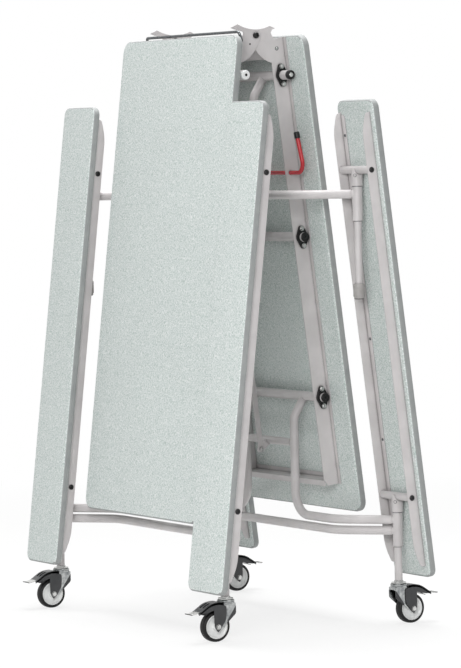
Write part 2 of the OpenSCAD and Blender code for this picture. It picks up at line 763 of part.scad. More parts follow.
module bench_rails(side) {
    for (y = [-bench_y, bench_y]) color(warm_grey_paint) on_bench(side, y)
        for (m = [0, 1]) mirror([0, m, 0]) bench_rail();
}

module bench_tubes(side) {
    end = bench_rail_spread / 2 - bench_rail_t;
    for (y = [-bench_y, bench_y]) color(warm_grey_paint) on_bench(side, y)
        for (x = bench_tubes_at) translate([x, 0, 0]) difference() {
            rod_y(bench_tube_d / 2, -end, end);
            rod_y(bench_tube_d / 2 - tube_wall, -end + 20, end - 20);
            rod_y(5, -end - 1, end + 1);
        }
}

module bench_bolts(side) {
    face = bench_rail_spread / 2;
    for (y = [-bench_y, bench_y]) color(dark_rod) on_bench(side, y) {
        for (x = bench_tubes_at, m = [0, 1]) translate([x, 0, 0]) mirror([0, m, 0]) {
            rod_y(5, face - bench_rail_t - 18, face);
            rod_y(9, face, face + 4);
        }
        bench_screws(screw_depth);
        translate([0, 0, -screw_head_h]) at_bench_screws() cylinder(d = screw_head_d, h = screw_head_h);
    }
}

// puts a caster's piece under its leg, trailing outwards
module at_caster(side, y) {
    on_side(side) translate([leg_out_x, y * bench_y, 0]) children();
}

module caster_stems(side) {
    color(bright_zinc) for (y = [-1, 1]) at_caster(side, y) {
        ring_h = 0.45 * swivel_drop;
        translate([0, 0, swivel_z + swivel_gap]) cylinder(d = caster_head_d * 0.87, h = ring_h);
        translate([0, 0, swivel_z + swivel_gap + ring_h])
            cylinder(d = stem_collar_d, h = swivel_drop - swivel_gap - ring_h);
        translate([0, 0, caster_h]) cylinder(d = leg_d - 2 * leg_wall, h = stem_l);
    }
}

// side plate of the fork, from the head down to the axle
module fork_side() {
    top_z = swivel_z - caster_head_h + 1;
    front = [-caster_head_d / 2 + 9, top_z - 25];
    back_x = caster_head_d / 2 - 11;
    link_outline(front, 6, [trail, axle_z], fork_eye_r);
    polygon([front + [-6, 0], [front.x - 6, top_z], [back_x, top_z], [trail + fork_eye_r - 0.4, axle_z + 3],
        [trail, axle_z], front]);
}

module fork(side, y) {
    head_z0 = swivel_z - caster_head_h;
    color(bright_zinc) at_caster(side, y) {
        difference() {
            union() {
                translate([0, 0, head_z0]) cylinder(d = caster_head_d, h = caster_head_h - 3);
                translate([0, 0, swivel_z - 3]) cylinder(d1 = caster_head_d, d2 = caster_head_d - 5, h = 3);
                for (s = [0, 1]) mirror([0, s, 0]) translate([0, fork_y, 0]) plate_y(fork_t) fork_side();
            }
            translate([trail, 0, axle_z]) rotate([90, 0, 0]) cylinder(d = wheel_d + 8, h = 2 * fork_y, center = true);
        }
        translate([trail, 0, axle_z]) {
            rod_y(axle_d / 2, -axle_end_y - 1, axle_end_y + 1);
            for (m = [0, 1]) mirror([0, m, 0]) rod_y(axle_d / 2 + 3, axle_end_y, axle_end_y + 4);
        }
    }
}

// side of the brake pedal, from the axle up over the wheel and out to the tread
module pedal_side() {
    reach = pedal_reach;
    polygon(concat([[trail - 18, axle_z + 3], [-2, axle_z + 28], [-2, swivel_z - caster_head_h - 8],
        [19, swivel_z - caster_head_h - 6], [23, swivel_z - 6]],
        arc_points([38, axle_z + 2], 76, 98, 44, 8),
        [[reach - 22, axle_z + 47], [reach, axle_z + 44], [reach, axle_z + 41], [reach - 28, axle_z + 42.5]],
        arc_points([40, axle_z], 53.5, 44, 76, 6),
        [[trail + 13, axle_z + 18]],
        arc_points([trail, axle_z], fork_eye_r + 1, 10, -170, 9)));
}

module pedal(side, y) {
    color(brake_grey) at_caster(side, y) difference() {
        union() {
            for (m = [0, 1]) mirror([0, m, 0]) translate([0, pedal_y, 0]) plate_y(pedal_t) pedal_side();
            translate([pedal_reach - 30, -pedal_y - pedal_t, axle_z + 43]) cube([30, 2 * (pedal_y + pedal_t), 3]);
            translate([34, -pedal_y - pedal_t, swivel_z - 8]) cube([14, 2 * (pedal_y + pedal_t), 4]);
        }
        translate([trail, 0, axle_z]) rod_y(axle_d / 2 + 0.2, -axle_end_y, axle_end_y);
    }
}

module wheel(side, y) {
    rim = hub_d / 2;
    half = wheel_w / 2;
    color(white_plastic) at_caster(side, y) translate([trail, 0, axle_z]) rotate([90, 0, 0]) rotate_extrude()
        polygon([[axle_d / 2 + run_fit, -fork_y + 0.4], [12, -fork_y + 0.4], [14, -half + 5], [rim - 6, -half + 6],
            [rim - 4, -half + 2], [rim, -half + 2], [rim, half - 2], [rim - 4, half - 2], [rim - 6, half - 6],
            [14, half - 5], [12, fork_y - 0.4], [axle_d / 2 + run_fit, fork_y - 0.4]]);
}

module tyre(side, y) {
    rim = hub_d / 2;
    half = wheel_w / 2;
    outer = wheel_d / 2;
    color(tyre_black) at_caster(side, y) translate([trail, 0, axle_z]) rotate([90, 0, 0]) rotate_extrude()
        polygon(concat([[rim, -half + 2], [rim + 2, -half]], arc_points([outer - 6, -half + 6], 6, -90, 0, 5),
            arc_points([outer - 6, half - 6], 6, 0, 90, 5), [[rim + 2, half], [rim, half - 2]]));
}

top(1);  // top_right
aprons(1);  // aprons_right
cross_rails(1);  // cross_rails_right
bearings(1);  // bearings_right
fasteners(1);  // fasteners_right
mid_shaft(1);  // mid_shaft_right
drag_link(1);  // drag_link_right
release_handle();
handle_cap();
top(-1);  // top_left
aprons(-1);  // aprons_left
cross_rails(-1);  // cross_rails_left
bearings(-1);  // bearings_left
fasteners(-1);  // fasteners_left
mid_shaft(-1);  // mid_shaft_left
drag_link(-1);  // drag_link_left
latch_bail();
hinge_bolts();
caster_frame(1);  // caster_frame_right
caster_legs(1);  // caster_legs_right
short_caps(1, shaft_out_at);  // outer_caps_right
caster_stems(1);  // caster_stems_right
caster_frame(-1);  // caster_frame_left
caster_legs(-1);  // caster_legs_left
short_caps(-1, shaft_out_at);  // outer_caps_left
caster_stems(-1);  // caster_stems_left
inner_frame(1);  // inner_frame_right
inner_legs(1);  // inner_legs_right
feet(1);  // feet_right
shaft_caps_right();
short_caps(1, shaft_mid_at);  // mid_caps_right
inner_frame(-1);  // inner_frame_left
inner_legs(-1);  // inner_legs_left
feet(-1);  // feet_left
shaft_plugs_left();
short_caps(-1, shaft_mid_at);  // mid_caps_left
bench_boards(1);  // bench_boards_right
bench_rails(1);  // bench_rails_right
bench_tubes(1);  // bench_tubes_right
bench_bolts(1);  // bench_bolts_right
bench_boards(-1);  // bench_boards_left
bench_rails(-1);  // bench_rails_left
bench_tubes(-1);  // bench_tubes_left
bench_bolts(-1);  // bench_bolts_left
fork(1, -1);  // fork_right_near
pedal(1, -1);  // pedal_right_near
wheel(1, -1);  // wheel_right_near
tyre(1, -1);  // tyre_right_near
fork(1, 1);  // fork_right_far
pedal(1, 1);  // pedal_right_far
wheel(1, 1);  // wheel_right_far
tyre(1, 1);  // tyre_right_far
fork(-1, -1);  // fork_left_near
pedal(-1, -1);  // pedal_left_near
wheel(-1, -1);  // wheel_left_near
tyre(-1, -1);  // tyre_left_near
fork(-1, 1);  // fork_left_far
pedal(-1, 1);  // pedal_left_far
wheel(-1, 1);  // wheel_left_far
tyre(-1, 1);  // tyre_left_far
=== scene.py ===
import json
import math
import bpy
import bmesh
from mathutils import Matrix, Vector


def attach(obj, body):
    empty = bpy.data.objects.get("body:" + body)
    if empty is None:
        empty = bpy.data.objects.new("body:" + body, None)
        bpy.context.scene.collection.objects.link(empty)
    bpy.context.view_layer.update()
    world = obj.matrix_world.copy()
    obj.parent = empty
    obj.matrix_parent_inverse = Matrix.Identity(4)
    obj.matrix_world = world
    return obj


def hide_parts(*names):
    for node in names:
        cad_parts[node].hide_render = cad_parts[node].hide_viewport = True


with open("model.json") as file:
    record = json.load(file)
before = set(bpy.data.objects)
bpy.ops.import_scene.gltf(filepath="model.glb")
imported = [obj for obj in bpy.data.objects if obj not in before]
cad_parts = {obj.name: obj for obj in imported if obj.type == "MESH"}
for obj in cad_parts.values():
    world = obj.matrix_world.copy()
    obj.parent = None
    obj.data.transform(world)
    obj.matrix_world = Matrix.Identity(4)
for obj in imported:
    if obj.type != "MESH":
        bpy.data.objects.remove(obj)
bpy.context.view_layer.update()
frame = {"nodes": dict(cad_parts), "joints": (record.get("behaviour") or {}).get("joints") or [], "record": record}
nodes = frame["nodes"]
joints = {j["name"]: j for j in frame["joints"]}
bodyOf = {n: body for body, names in frame["record"]["behaviour"]["bodies"].items() for n in names}
print("frame loaded,", len(nodes), "nodes")

mm = 0.001  # sizes below are in millimetres, the scene is in metres

# the folded table's lean, from its two shaft joints, and the points that everything hangs on
hingePoint = Vector(joints["centre_hinge"]["pos_m"])
shaftIn = Vector(joints["inner_frame_right_pivot"]["pos_m"])
shaftOut = Vector(joints["fold"]["pos_m"])
benchPivot = Vector(joints["benches_right_pivot"]["pos_m"])
lean = math.atan2(shaftOut.x - shaftIn.x, shaftIn.z - shaftOut.z)
alongBoard = Vector((math.sin(lean), 0, -math.cos(lean)))
outOfBoard = Vector((math.cos(lean), 0, math.sin(lean)))
shaftSpan = (shaftOut - shaftIn).length
benchY = abs(joints["swivel_right_near"]["pos_m"][1])
legIn = shaftIn.x + benchPivot.x - shaftOut.x
floorDrop = shaftOut.z  # height of the outer shaft, and so of the open table's shafts
halfTurn = Matrix.Rotation(math.pi, 4, "Z")
openTurn = Matrix((alongBoard, (0, 1, 0), outOfBoard)).transposed().to_4x4()
sides = {"right": Matrix.Identity(4), "left": halfTurn}
ends = {"near": -1, "far": 1}


# an sRGB hex colour as the linear values that a shader takes
def linearColour(hexColour):
    values = [int(hexColour[i:i + 2], 16) / 255 for i in (1, 3, 5)]
    return [v / 12.92 if v <= 0.04045 else ((v + 0.055) / 1.055) ** 2.4 for v in values] + [1.0]


# settings name an input or a property of the node, links an input by name or number
def addNode(material, kind, settings=None, links=None):
    node = material.node_tree.nodes.new(kind)
    for key, value in (settings or {}).items():
        if key in node.inputs:
            node.inputs[key].default_value = value
        else:
            setattr(node, key, value)
    for key, (source, output) in (links or {}).items():
        material.node_tree.links.new(source.outputs[output], node.inputs[key])
    return node


def newMaterial(name):
    material = bpy.data.materials.new(name)
    material.use_nodes = True
    material.node_tree.nodes.clear()
    return material


def setRamp(node, stops):
    ramp = node.color_ramp
    while len(ramp.elements) < len(stops):
        ramp.elements.new(0.5)
    for element, (place, colour) in zip(ramp.elements, stops):
        element.position = place
        element.color = linearColour(colour)


# a cloudy pattern with features of the given size, laid out on the object itself
def addNoise(material, place, size, detail, settings=None):
    return addNode(material, "ShaderNodeTexNoise",
                   {"Scale": 1 / (size * mm), "Detail": detail, **(settings or {})}, {"Vector": (place, "Object")})


def addRange(material, source, output, low, high):
    return addNode(material, "ShaderNodeMapRange", {"To Min": low, "To Max": high}, {"Value": (source, output)})


def twoTones(material, source, dark, light):
    colour = addNode(material, "ShaderNodeValToRGB", {}, {"Fac": (source, "Fac")})
    setRamp(colour, [(0.3, dark), (0.7, light)])
    return colour


def addBump(material, source, strength, depth):
    return addNode(material, "ShaderNodeBump", {"Strength": strength, "Distance": depth * mm},
                   {"Height": (source, "Fac")})


# a mix node uses each socket name for several types, so its colour sockets go by number
mixFirst, mixSecond, mixResult = 6, 7, 2


def multiplied(material, first, second):
    return addNode(material, "ShaderNodeMix", {"data_type": "RGBA", "blend_type": "MULTIPLY", "Factor": 1.0},
                   {mixFirst: first, mixSecond: second})


# painted shade where two pieces meet: darkens the colour within reach of a neighbour, as the shade there would
def paintedCornerShade(material, colour, output, reach, darkest):
    corner = addNode(material, "ShaderNodeAmbientOcclusion", {"samples": 6, "Distance": reach * mm})
    tone = addNode(material, "ShaderNodeMapRange",
                   {"From Min": 0.25, "From Max": 0.9, "To Min": darkest, "To Max": 1.0},
                   {"Value": (corner, "AO")})
    return multiplied(material, (colour, output), (tone, "Result"))


def finishMaterial(material, settings, links):
    shader = addNode(material, "ShaderNodeBsdfPrincipled", settings, links)
    addNode(material, "ShaderNodeOutputMaterial", {}, {"Surface": (shader, "BSDF")})
    return material


# high-pressure laminate, printed with a fine fleck: a cool pale grey-green that reads as mist from afar
def speckledLaminate():
    # in millimetres; the fleck is about three times as coarse as the real print
    size = {"fleck": 4.2, "speck": 6.4, "cloud": 180.0, "texture": 0.9}
    m = newMaterial("speckled laminate")
    place = addNode(m, "ShaderNodeTexCoord")
    fleck = addNoise(m, place, size["fleck"], 2.0, {"Roughness": 0.6})
    colour = addNode(m, "ShaderNodeValToRGB", {}, {"Fac": (fleck, "Fac")})
    setRamp(colour, [(0.31, "#A3B4AE"), (0.46, "#C8D1CE"), (0.55, "#D5DBD9"), (0.70, "#EDF0EF")])
    speck = addNode(m, "ShaderNodeTexVoronoi", {"Scale": 1 / (size["speck"] * mm)}, {"Vector": (place, "Object")})
    dot = addNode(m, "ShaderNodeMapRange", {"From Min": 0.08, "From Max": 0.2, "To Min": 0.75, "To Max": 1.0},
                  {"Value": (speck, "Distance")})
    cloud = addNoise(m, place, size["cloud"], 2.0)
    tone = addRange(m, cloud, "Fac", 0.97, 1.03)
    both = addNode(m, "ShaderNodeMath", {"operation": "MULTIPLY"}, {0: (tone, "Result"), 1: (dot, "Result")})
    toned = multiplied(m, (colour, "Color"), (both, "Value"))
    # painted shade where the laminate meets the flanges, screws and other pieces
    cornerShaded = paintedCornerShade(m, toned, mixResult, reach=9, darkest=0.72)
    bump = addBump(m, addNoise(m, place, size["texture"], 1.0), 0.25, 0.05)
    gloss = addRange(m, cloud, "Fac", 0.38, 0.5)
    return finishMaterial(m, {"IOR": 1.5}, {"Base Color": (cornerShaded, mixResult), "Roughness": (gloss, "Result"),
                                            "Normal": (bump, "Normal")})


# ABS edge band, ironed on and rounded over: matt, and clearly greyer than the laminate
def edgeBand():
    m = newMaterial("ABS edge band")
    place = addNode(m, "ShaderNodeTexCoord")
    wear = addNoise(m, place, 30, 4.0)
    colour = twoTones(m, wear, "#8F9292", "#9B9E9D")
    bump = addBump(m, addNoise(m, place, 1.2, 1.0), 0.15, 0.04)
    gloss = addRange(m, wear, "Fac", 0.55, 0.7)
    return finishMaterial(m, {"IOR": 1.54}, {"Base Color": (colour, "Color"), "Roughness": (gloss, "Result"),
                                             "Normal": (bump, "Normal")})


# powder coat, sprayed and baked: a soft orange peel, with a gloss that clouds a little
def powderCoat(name, dark, light, roughness=(0.34, 0.46)):
    m = newMaterial(name)
    place = addNode(m, "ShaderNodeTexCoord")
    cloud = addNoise(m, place, 60, 3.0)
    # painted shade in the corners where pieces meet
    cornerShaded = paintedCornerShade(m, twoTones(m, cloud, dark, light), "Color", reach=7, darkest=0.4)
    bump = addBump(m, addNoise(m, place, 1.8, 1.0), 0.3, 0.06)
    gloss = addRange(m, cloud, "Fac", *roughness)
    return finishMaterial(m, {"IOR": 1.5}, {"Base Color": (cornerShaded, mixResult), "Roughness": (gloss, "Result"),
                                            "Normal": (bump, "Normal")})


# plated steel: a grey metal that clouds a little, with painted shade in its corners
def platedSteel(name, dark, light, roughness):
    m = newMaterial(name)
    cloud = addNoise(m, addNode(m, "ShaderNodeTexCoord"), 14, 4.0)
    cornerShaded = paintedCornerShade(m, twoTones(m, cloud, dark, light), "Color", reach=10, darkest=0.35)
    gloss = addRange(m, cloud, "Fac", *roughness)
    return finishMaterial(m, {"Metallic": 1.0}, {"Base Color": (cornerShaded, mixResult), "Roughness": (gloss, "Result")})


# injection-moulded plastic or rubber: an even colour under a fine spark-eroded grain
def mouldedPlastic(name, dark, light, roughness, grainSize=0.8, shine=0.5):
    m = newMaterial(name)
    place = addNode(m, "ShaderNodeTexCoord")
    cloud = addNoise(m, place, 25, 3.0)
    colour = twoTones(m, cloud, dark, light)
    bump = addBump(m, addNoise(m, place, grainSize, 1.0), 0.3, 0.04)
    gloss = addRange(m, cloud, "Fac", *roughness)
    return finishMaterial(m, {"IOR": 1.49, "Specular IOR Level": shine},
                          {"Base Color": (colour, "Color"), "Roughness": (gloss, "Result"),
                           "Normal": (bump, "Normal")})


laminate = speckledLaminate()
band = edgeBand()
greyCoat = powderCoat("warm grey powder coat", "#C3BFBF", "#CECACA")
redCoat = powderCoat("red powder coat", "#B4232F", "#C9343C", (0.2, 0.3))
brakeCoat = powderCoat("dark grey brake paint", "#2C2D2F", "#3A3B3D", (0.25, 0.38))
zinc = platedSteel("bright zinc plate", "#B4B5B4", "#DADAD8", (0.14, 0.28))
# the forks' zinc is a darker copy of the bright zinc, a painted reflection of their dark surroundings
forkZinc = platedSteel("zinc plate darkened as painted reflection", "#85888A", "#C6C8C7", (0.12, 0.26))
darkSteel = platedSteel("dark plated steel", "#55585A", "#6D7072", (0.22, 0.36))
blackPlastic = mouldedPlastic("black nylon", "#0E0E0E", "#181819", (0.30, 0.45), shine=0.35)
blackSteel = mouldedPlastic("blackened bolt", "#101010", "#1B1B1C", (0.24, 0.36), shine=0.4)
whitePlastic = mouldedPlastic("white polypropylene", "#DEDFDE", "#EAEBEA", (0.28, 0.40))
footPlastic = mouldedPlastic("grey foot plastic", "#9C9997", "#ABA8A6", (0.45, 0.6))
tyreRubber = mouldedPlastic("black tyre rubber", "#0C0C0C", "#151515", (0.45, 0.6), grainSize=1.5, shine=0.3)

finishes = {
    "laminate_board": laminate, "grey_paint": greyCoat, "black_plastic": blackPlastic, "black_steel": blackSteel,
    "zinc_plate": zinc, "dark_steel": darkSteel, "red_paint": redCoat, "grey_foot": footPlastic,
    "white_plastic": whitePlastic, "brake_paint": brakeCoat, "black_tyre": tyreRubber,
}
slotOf = {s["node"]: s["material_slot"] for s in frame["record"]["subparts"]}
for name, node in nodes.items():
    node.data.materials.clear()
    node.data.materials.append(finishes[slotOf[name]])
print("materials ready")


def makePiece(name, bm, slot, body, replaced=(), extra=(), smoothAngle=35):
    mesh = bpy.data.meshes.new(name)
    bm.to_mesh(mesh)
    bm.free()
    for material in (finishes[slot],) + tuple(extra):
        mesh.materials.append(material)
    mesh.shade_smooth()
    mesh.set_sharp_from_angle(angle=math.radians(smoothAngle))
    piece = bpy.data.objects.new(name, mesh)
    bpy.context.scene.collection.objects.link(piece)
    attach(piece, body)
    for node in replaced:
        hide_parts(node)
    return piece


# a piece drawn on the open half, out along +X from the hinge and up along +Z, goes to the folded half
def halfPlace(side, u, y, n):
    return sides[side] @ Matrix.Translation(hingePoint) @ openTurn @ Matrix.Translation(Vector((u, y, n)) * mm)


# the same for a bench, out along +X from its inner pivot tube's end and up along +Z towards the seat
def benchPlace(side, end, u, y, n):
    pivot = Matrix.Translation((benchPivot.x, 0, benchPivot.z)) @ openTurn
    inBench = pivot @ Matrix.Translation(Vector((u * mm - shaftSpan, y * mm, n * mm)))
    return Matrix.Translation((0, ends[end] * benchY, 0)) @ sides[side] @ inBench


# turns a piece drawn up along +Z so that it points out along +Y or -Y
def facing(sign):
    return Matrix.Rotation(-sign * math.pi / 2, 4, "X")


def vertsIn(geometry):
    return [g for g in geometry if isinstance(g, bmesh.types.BMVert)]


# gives the faces made since before was taken another of the piece's materials
def paintNew(bm, before, index):
    for face in set(bm.faces) - before:
        face.material_index = index


# a closed ring of revolution round +Z from a given half section of (radius, height)
def spinProfile(bm, profile, steps, place, materialAt=None):
    start = [bm.verts.new((r * mm, 0, z * mm)) for r, z in profile]
    loop = [bm.edges.new((a, b)) for a, b in zip(start, start[1:])]
    made = bmesh.ops.spin(bm, geom=start + loop, cent=(0, 0, 0), axis=(0, 0, 1), angle=math.tau, steps=steps,
                          use_merge=True)
    frontier = list({v for e in loop for v in e.verts} | set(vertsIn(made["geom_last"])))
    island = set()
    while frontier:
        v = frontier.pop()
        if v.is_valid and v not in island:
            island.add(v)
            frontier += [e.other_vert(v) for e in v.link_edges]
    faces = list({f for v in island for f in v.link_faces})
    bmesh.ops.remove_doubles(bm, verts=list(island), dist=0.01 * mm)
    faces = [f for f in faces if f.is_valid]
    bmesh.ops.recalc_face_normals(bm, faces=faces)
    if materialAt:
        for face in faces:
            face.material_index = materialAt(face.calc_center_median() / mm)
    bmesh.ops.transform(bm, matrix=place, verts=list({v for f in faces for v in f.verts}))


def addCylinder(bm, r, low, high, place, segments=24, topRadius=None):
    middle = Matrix.Translation((0, 0, (low + high) / 2 * mm))
    made = bmesh.ops.create_cone(bm, cap_ends=True, segments=segments, radius1=r * mm,
                                 radius2=(topRadius or r) * mm, depth=(high - low) * mm, matrix=place @ middle)
    return made["verts"]


def topFace(verts, place):
    back = place.inverted()
    return max({f for v in verts for f in v.link_faces}, key=lambda f: (back @ f.calc_center_median()).z)


hexChamfer = 0.9


# hexagon head with its corners chamfered off, on a washer
def addHexBolt(bm, place, size):
    addCylinder(bm, size["washer"], 0, size["washerThick"], place, 20)
    head = addCylinder(bm, size["head"], size["washerThick"], size["washerThick"] + size["headHigh"], place, 6)
    bmesh.ops.bevel(bm, geom=list(topFace(head, place).edges), offset=hexChamfer * mm, segments=2, profile=0.5,
                    affect="EDGES", material=-1)


# low domed head with a cross recess pressed into it: shares of its radius and its height
crossScrew = {"wall": 0.55, "dome": ((0.86, 0.85), (0.55, 1.0)), "recess": 0.5, "arm": 0.48, "waist": 0.2}


def addCrossScrew(bm, place, r, high):
    c = crossScrew
    head = addCylinder(bm, r, 0, high * c["wall"], place, 16)
    back = place.inverted()
    top = topFace(head, place)
    for reach, lift in c["dome"]:
        top = bmesh.ops.extrude_discrete_faces(bm, faces=[top])["faces"][0]
        for v in top.verts:
            p = back @ v.co
            out = Vector((p.x, p.y, 0)).normalized() * r * reach * mm
            v.co = place @ Vector((out.x, out.y, high * lift * mm))
    for drop in (0, high * c["recess"]):
        top = bmesh.ops.extrude_discrete_faces(bm, faces=[top])["faces"][0]
        for v in top.verts:
            p = back @ v.co
            a = math.atan2(p.y, p.x)
            out = r * (c["arm"] if abs(math.cos(2 * a)) > 0.9 else c["waist"]) * mm
            v.co = place @ Vector((math.cos(a) * out, math.sin(a) * out, (high - drop) * mm))


# a weld's ripples as height, waves round the tube and phase
weldRipples = ((0.45, 13, 0), (0.3, 5, 1))


# a bead of weld round a tube of radius r, its axis along +Z of place
def addWeld(bm, place, r, bead=1.7):
    upright = Matrix.Translation((r * mm, 0, 0)) @ Matrix.Rotation(math.pi / 2, 4, "X")
    ring = bmesh.ops.create_circle(bm, segments=8, radius=bead * mm, matrix=upright)
    before = set(bm.verts) - set(ring["verts"])
    edges = list({e for v in ring["verts"] for e in v.link_edges})
    bmesh.ops.spin(bm, geom=ring["verts"] + edges, cent=(0, 0, 0), axis=(0, 0, 1), angle=math.tau, steps=40,
                   use_merge=True)
    made = [v for v in bm.verts if v not in before]
    for v in made:
        a = math.atan2(v.co.y, v.co.x)
        v.co.z += sum(high * mm * math.sin(a * waves + phase) for high, waves, phase in weldRipples)
    bmesh.ops.transform(bm, matrix=place, verts=made)


# adds a shape drawn on its own to the piece, at its place
def mergeInto(bm, local, place):
    bmesh.ops.transform(local, matrix=place, verts=local.verts)
    mesh = bpy.data.meshes.new("local")
    local.to_mesh(mesh)
    local.free()
    bm.from_mesh(mesh)
    bpy.data.meshes.remove(mesh)


# a plate's broken edge, and the wall and slope round a panel that is pressed into it
plateEdge = {"broken": 0.5, "wall": 3.2, "slope": 1.2}


# a stamped plate: its outline in X and Z with chosen corners rounded, made thick along Y, its edge broken
def addPlate(bm, outline, rounds, y, thick, place, panel=0.0):
    local = bmesh.new()
    verts = [local.verts.new((x * mm, y * mm, z * mm)) for x, z in outline]
    local.faces.new(verts)
    for i, r in sorted(rounds.items()):
        bmesh.ops.bevel(local, geom=[verts[i]], offset=r * mm, segments=5, profile=0.5, affect="VERTICES",
                        material=-1)
    made = bmesh.ops.extrude_face_region(local, geom=local.faces[:])
    bmesh.ops.translate(local, vec=(0, thick * mm, 0), verts=vertsIn(made["geom"]))
    bmesh.ops.recalc_face_normals(local, faces=local.faces)
    flats = [f for f in local.faces if abs(f.normal.y) > 0.9]
    rim = list({e for f in flats for e in f.edges})
    bmesh.ops.bevel(local, geom=rim, offset=plateEdge["broken"] * mm, segments=2, profile=0.5, affect="EDGES",
                    material=-1, clamp_overlap=True)
    if panel:
        outer = max((f for f in local.faces if abs(f.normal.y) > 0.9),
                    key=lambda f: abs(f.calc_center_median().y) * 1000 + f.calc_area())
        bmesh.ops.inset_region(local, faces=[outer], thickness=plateEdge["wall"] * mm, depth=0)
        bmesh.ops.inset_region(local, faces=[outer], thickness=plateEdge["slope"] * mm, depth=-panel * mm)
    mergeInto(bm, local, place)


# a bent strip: its side line in X and Z, wide along Y, given its thickness downwards
def addStrip(bm, strip, place):
    line, halfWidth, slots = strip["line"], strip["halfWidth"], strip.get("slots", [])
    local = bmesh.new()
    verts = [local.verts.new((x * mm, -halfWidth * mm, z * mm)) for x, z in line]
    edges = [local.edges.new(pair) for pair in zip(verts, verts[1:])]
    cuts = [-halfWidth] + [c for slot in slots for c in slot["y"]] + [halfWidth]
    for a, b in zip(cuts, cuts[1:]):
        made = bmesh.ops.extrude_edge_only(local, edges=edges)["geom"]
        edges = [g for g in made if isinstance(g, bmesh.types.BMEdge)
                 and all(v in made for v in g.verts) and abs(g.verts[0].co.y - g.verts[1].co.y) < 1e-9]
        bmesh.ops.translate(local, vec=(0, (b - a) * mm, 0), verts=vertsIn(made))
    for slot in slots:
        gone = [f for f in local.faces if slot["y"][0] < f.calc_center_median().y / mm < slot["y"][1]
                and slot["x"][0] < f.calc_center_median().x / mm < slot["x"][1]]
        bmesh.ops.delete(local, geom=gone, context="FACES")
    if "lip" in strip:
        rim = [e for e in local.edges if e.is_boundary
               and all(abs(abs(v.co.y) - halfWidth * mm) < 1e-7 for v in e.verts)]
        made = bmesh.ops.extrude_edge_only(local, edges=rim)["geom"]
        bmesh.ops.translate(local, vec=(0, 0, -strip["lip"] * mm), verts=vertsIn(made))
    if "lastRound" in strip:
        corners = [v for v in local.verts if abs(v.co.x - line[-1][0] * mm) < 1e-7
                   and abs(abs(v.co.y) - halfWidth * mm) < 1e-7]
        bmesh.ops.bevel(local, geom=corners, offset=strip["lastRound"] * mm, segments=5, profile=0.5,
                        affect="VERTICES", material=-1)
    bmesh.ops.recalc_face_normals(local, faces=local.faces)
    bmesh.ops.solidify(local, geom=local.faces[:], thickness=strip["thick"] * mm)
    bmesh.ops.recalc_face_normals(local, faces=local.faces)
    mergeInto(bm, local, place)


# for a copied node: how near loose corners join, and from which angle a face is bent and an edge is softened
softening = {"join": 0.005, "bent": 0.5, "edge": 50}


# a smooth-shaded copy of a node, merged from its loose triangles, with its sheet edges softened
def softenedCopy(name, edge):
    bm = bmesh.new()
    bm.from_mesh(nodes[name].data)
    bmesh.ops.remove_doubles(bm, verts=bm.verts, dist=softening["join"] * mm)
    bmesh.ops.dissolve_limit(bm, angle_limit=math.radians(softening["bent"]), verts=bm.verts, edges=bm.edges)
    piece = makePiece("soft_" + name, bm, slotOf[name], bodyOf[name], (name,))
    if edge:
        bevel = piece.modifiers.new("softEdge", "BEVEL")
        bevel.width = edge * mm
        bevel.segments = 2
        bevel.limit_method = "ANGLE"
        bevel.angle_limit = math.radians(softening["edge"])
        bevel.use_clamp_overlap = True
    normals = piece.modifiers.new("flatFaces", "WEIGHTED_NORMAL")
    normals.keep_sharp = True


# the boards' inner ends, sizes, undersides, corners and edge rounds
board = {"inner": 15, "length": 1536, "width": 740, "under": 104, "thick": 25, "corner": 38, "round": 7}
seat = {"inner": 217, "length": 1516.4, "width": 212, "under": 20, "thick": 25, "corner": 28, "round": 7}
# how level a face must be to carry laminate, which wraps the round of the long edges; the rest is edge band
laminateLevel = {"long": 0.6, "end": 0.97}


def boardMesh(size, place):
    bm = bmesh.new()
    bmesh.ops.create_cube(bm, size=1)
    bmesh.ops.scale(bm, vec=(size["length"] * mm, size["width"] * mm, size["thick"] * mm), verts=bm.verts)
    upright = [e for e in bm.edges if abs(e.verts[0].co.z - e.verts[1].co.z) > 1e-6]
    bmesh.ops.bevel(bm, geom=upright, offset=size["corner"] * mm, segments=12, profile=0.5, affect="EDGES",
                    material=-1)
    rim = [e for e in bm.edges if abs(e.verts[0].co.z - e.verts[1].co.z) < 1e-6]
    bmesh.ops.bevel(bm, geom=rim, offset=size["round"] * mm, segments=5, profile=0.5, affect="EDGES",
                    material=-1)
    for face in bm.faces:
        level = laminateLevel["long" if abs(face.normal.y) > abs(face.normal.x) else "end"]
        face.material_index = 0 if abs(face.normal.z) > level else 1
    bmesh.ops.transform(bm, matrix=place, verts=bm.verts)
    return bm


for side in sides:
    middle = (board["inner"] + board["length"] / 2, 0, board["under"] + board["thick"] / 2)
    makePiece("tableBoard" + side.title(), boardMesh(board, halfPlace(side, *middle)), "laminate_board",
              "table_" + side, ("top_" + side,), (band,), smoothAngle=60)
    for end in ends:
        middle = (seat["length"] / 2 - seat["inner"], 0, seat["under"] + seat["thick"] / 2)
        makePiece("seatBoard" + side.title() + end.title(), boardMesh(seat, benchPlace(side, end, *middle)),
                  "laminate_board", "benches_" + side, ("bench_boards_" + side,), (band,),
                  smoothAngle=60)
print("boards made")

# sheet steel, tubes and mouldings keep the model's shape, with softened edges and smooth rounds
softEdges = {"aprons": 0.7, "cross_rails": 0.5, "bearings": 1.2, "drag_link": 0.6,
             "shaft_caps": 0.9, "shaft_plugs": 0.9, "outer_caps": 0.8, "mid_caps": 0.8,
             "caster_stems": 0.6, "bench_tubes": 0.0, "mid_shaft": 0.0, "caster_frame": 0.0, "inner_frame": 0.0,
             "caster_legs": 0.0, "inner_legs": 0.0}
for name in nodes:
    for kind, edge in softEdges.items():
        if name == kind or name.startswith(kind + "_"):
            softenedCopy(name, edge)
print("frames and sheet parts softened")
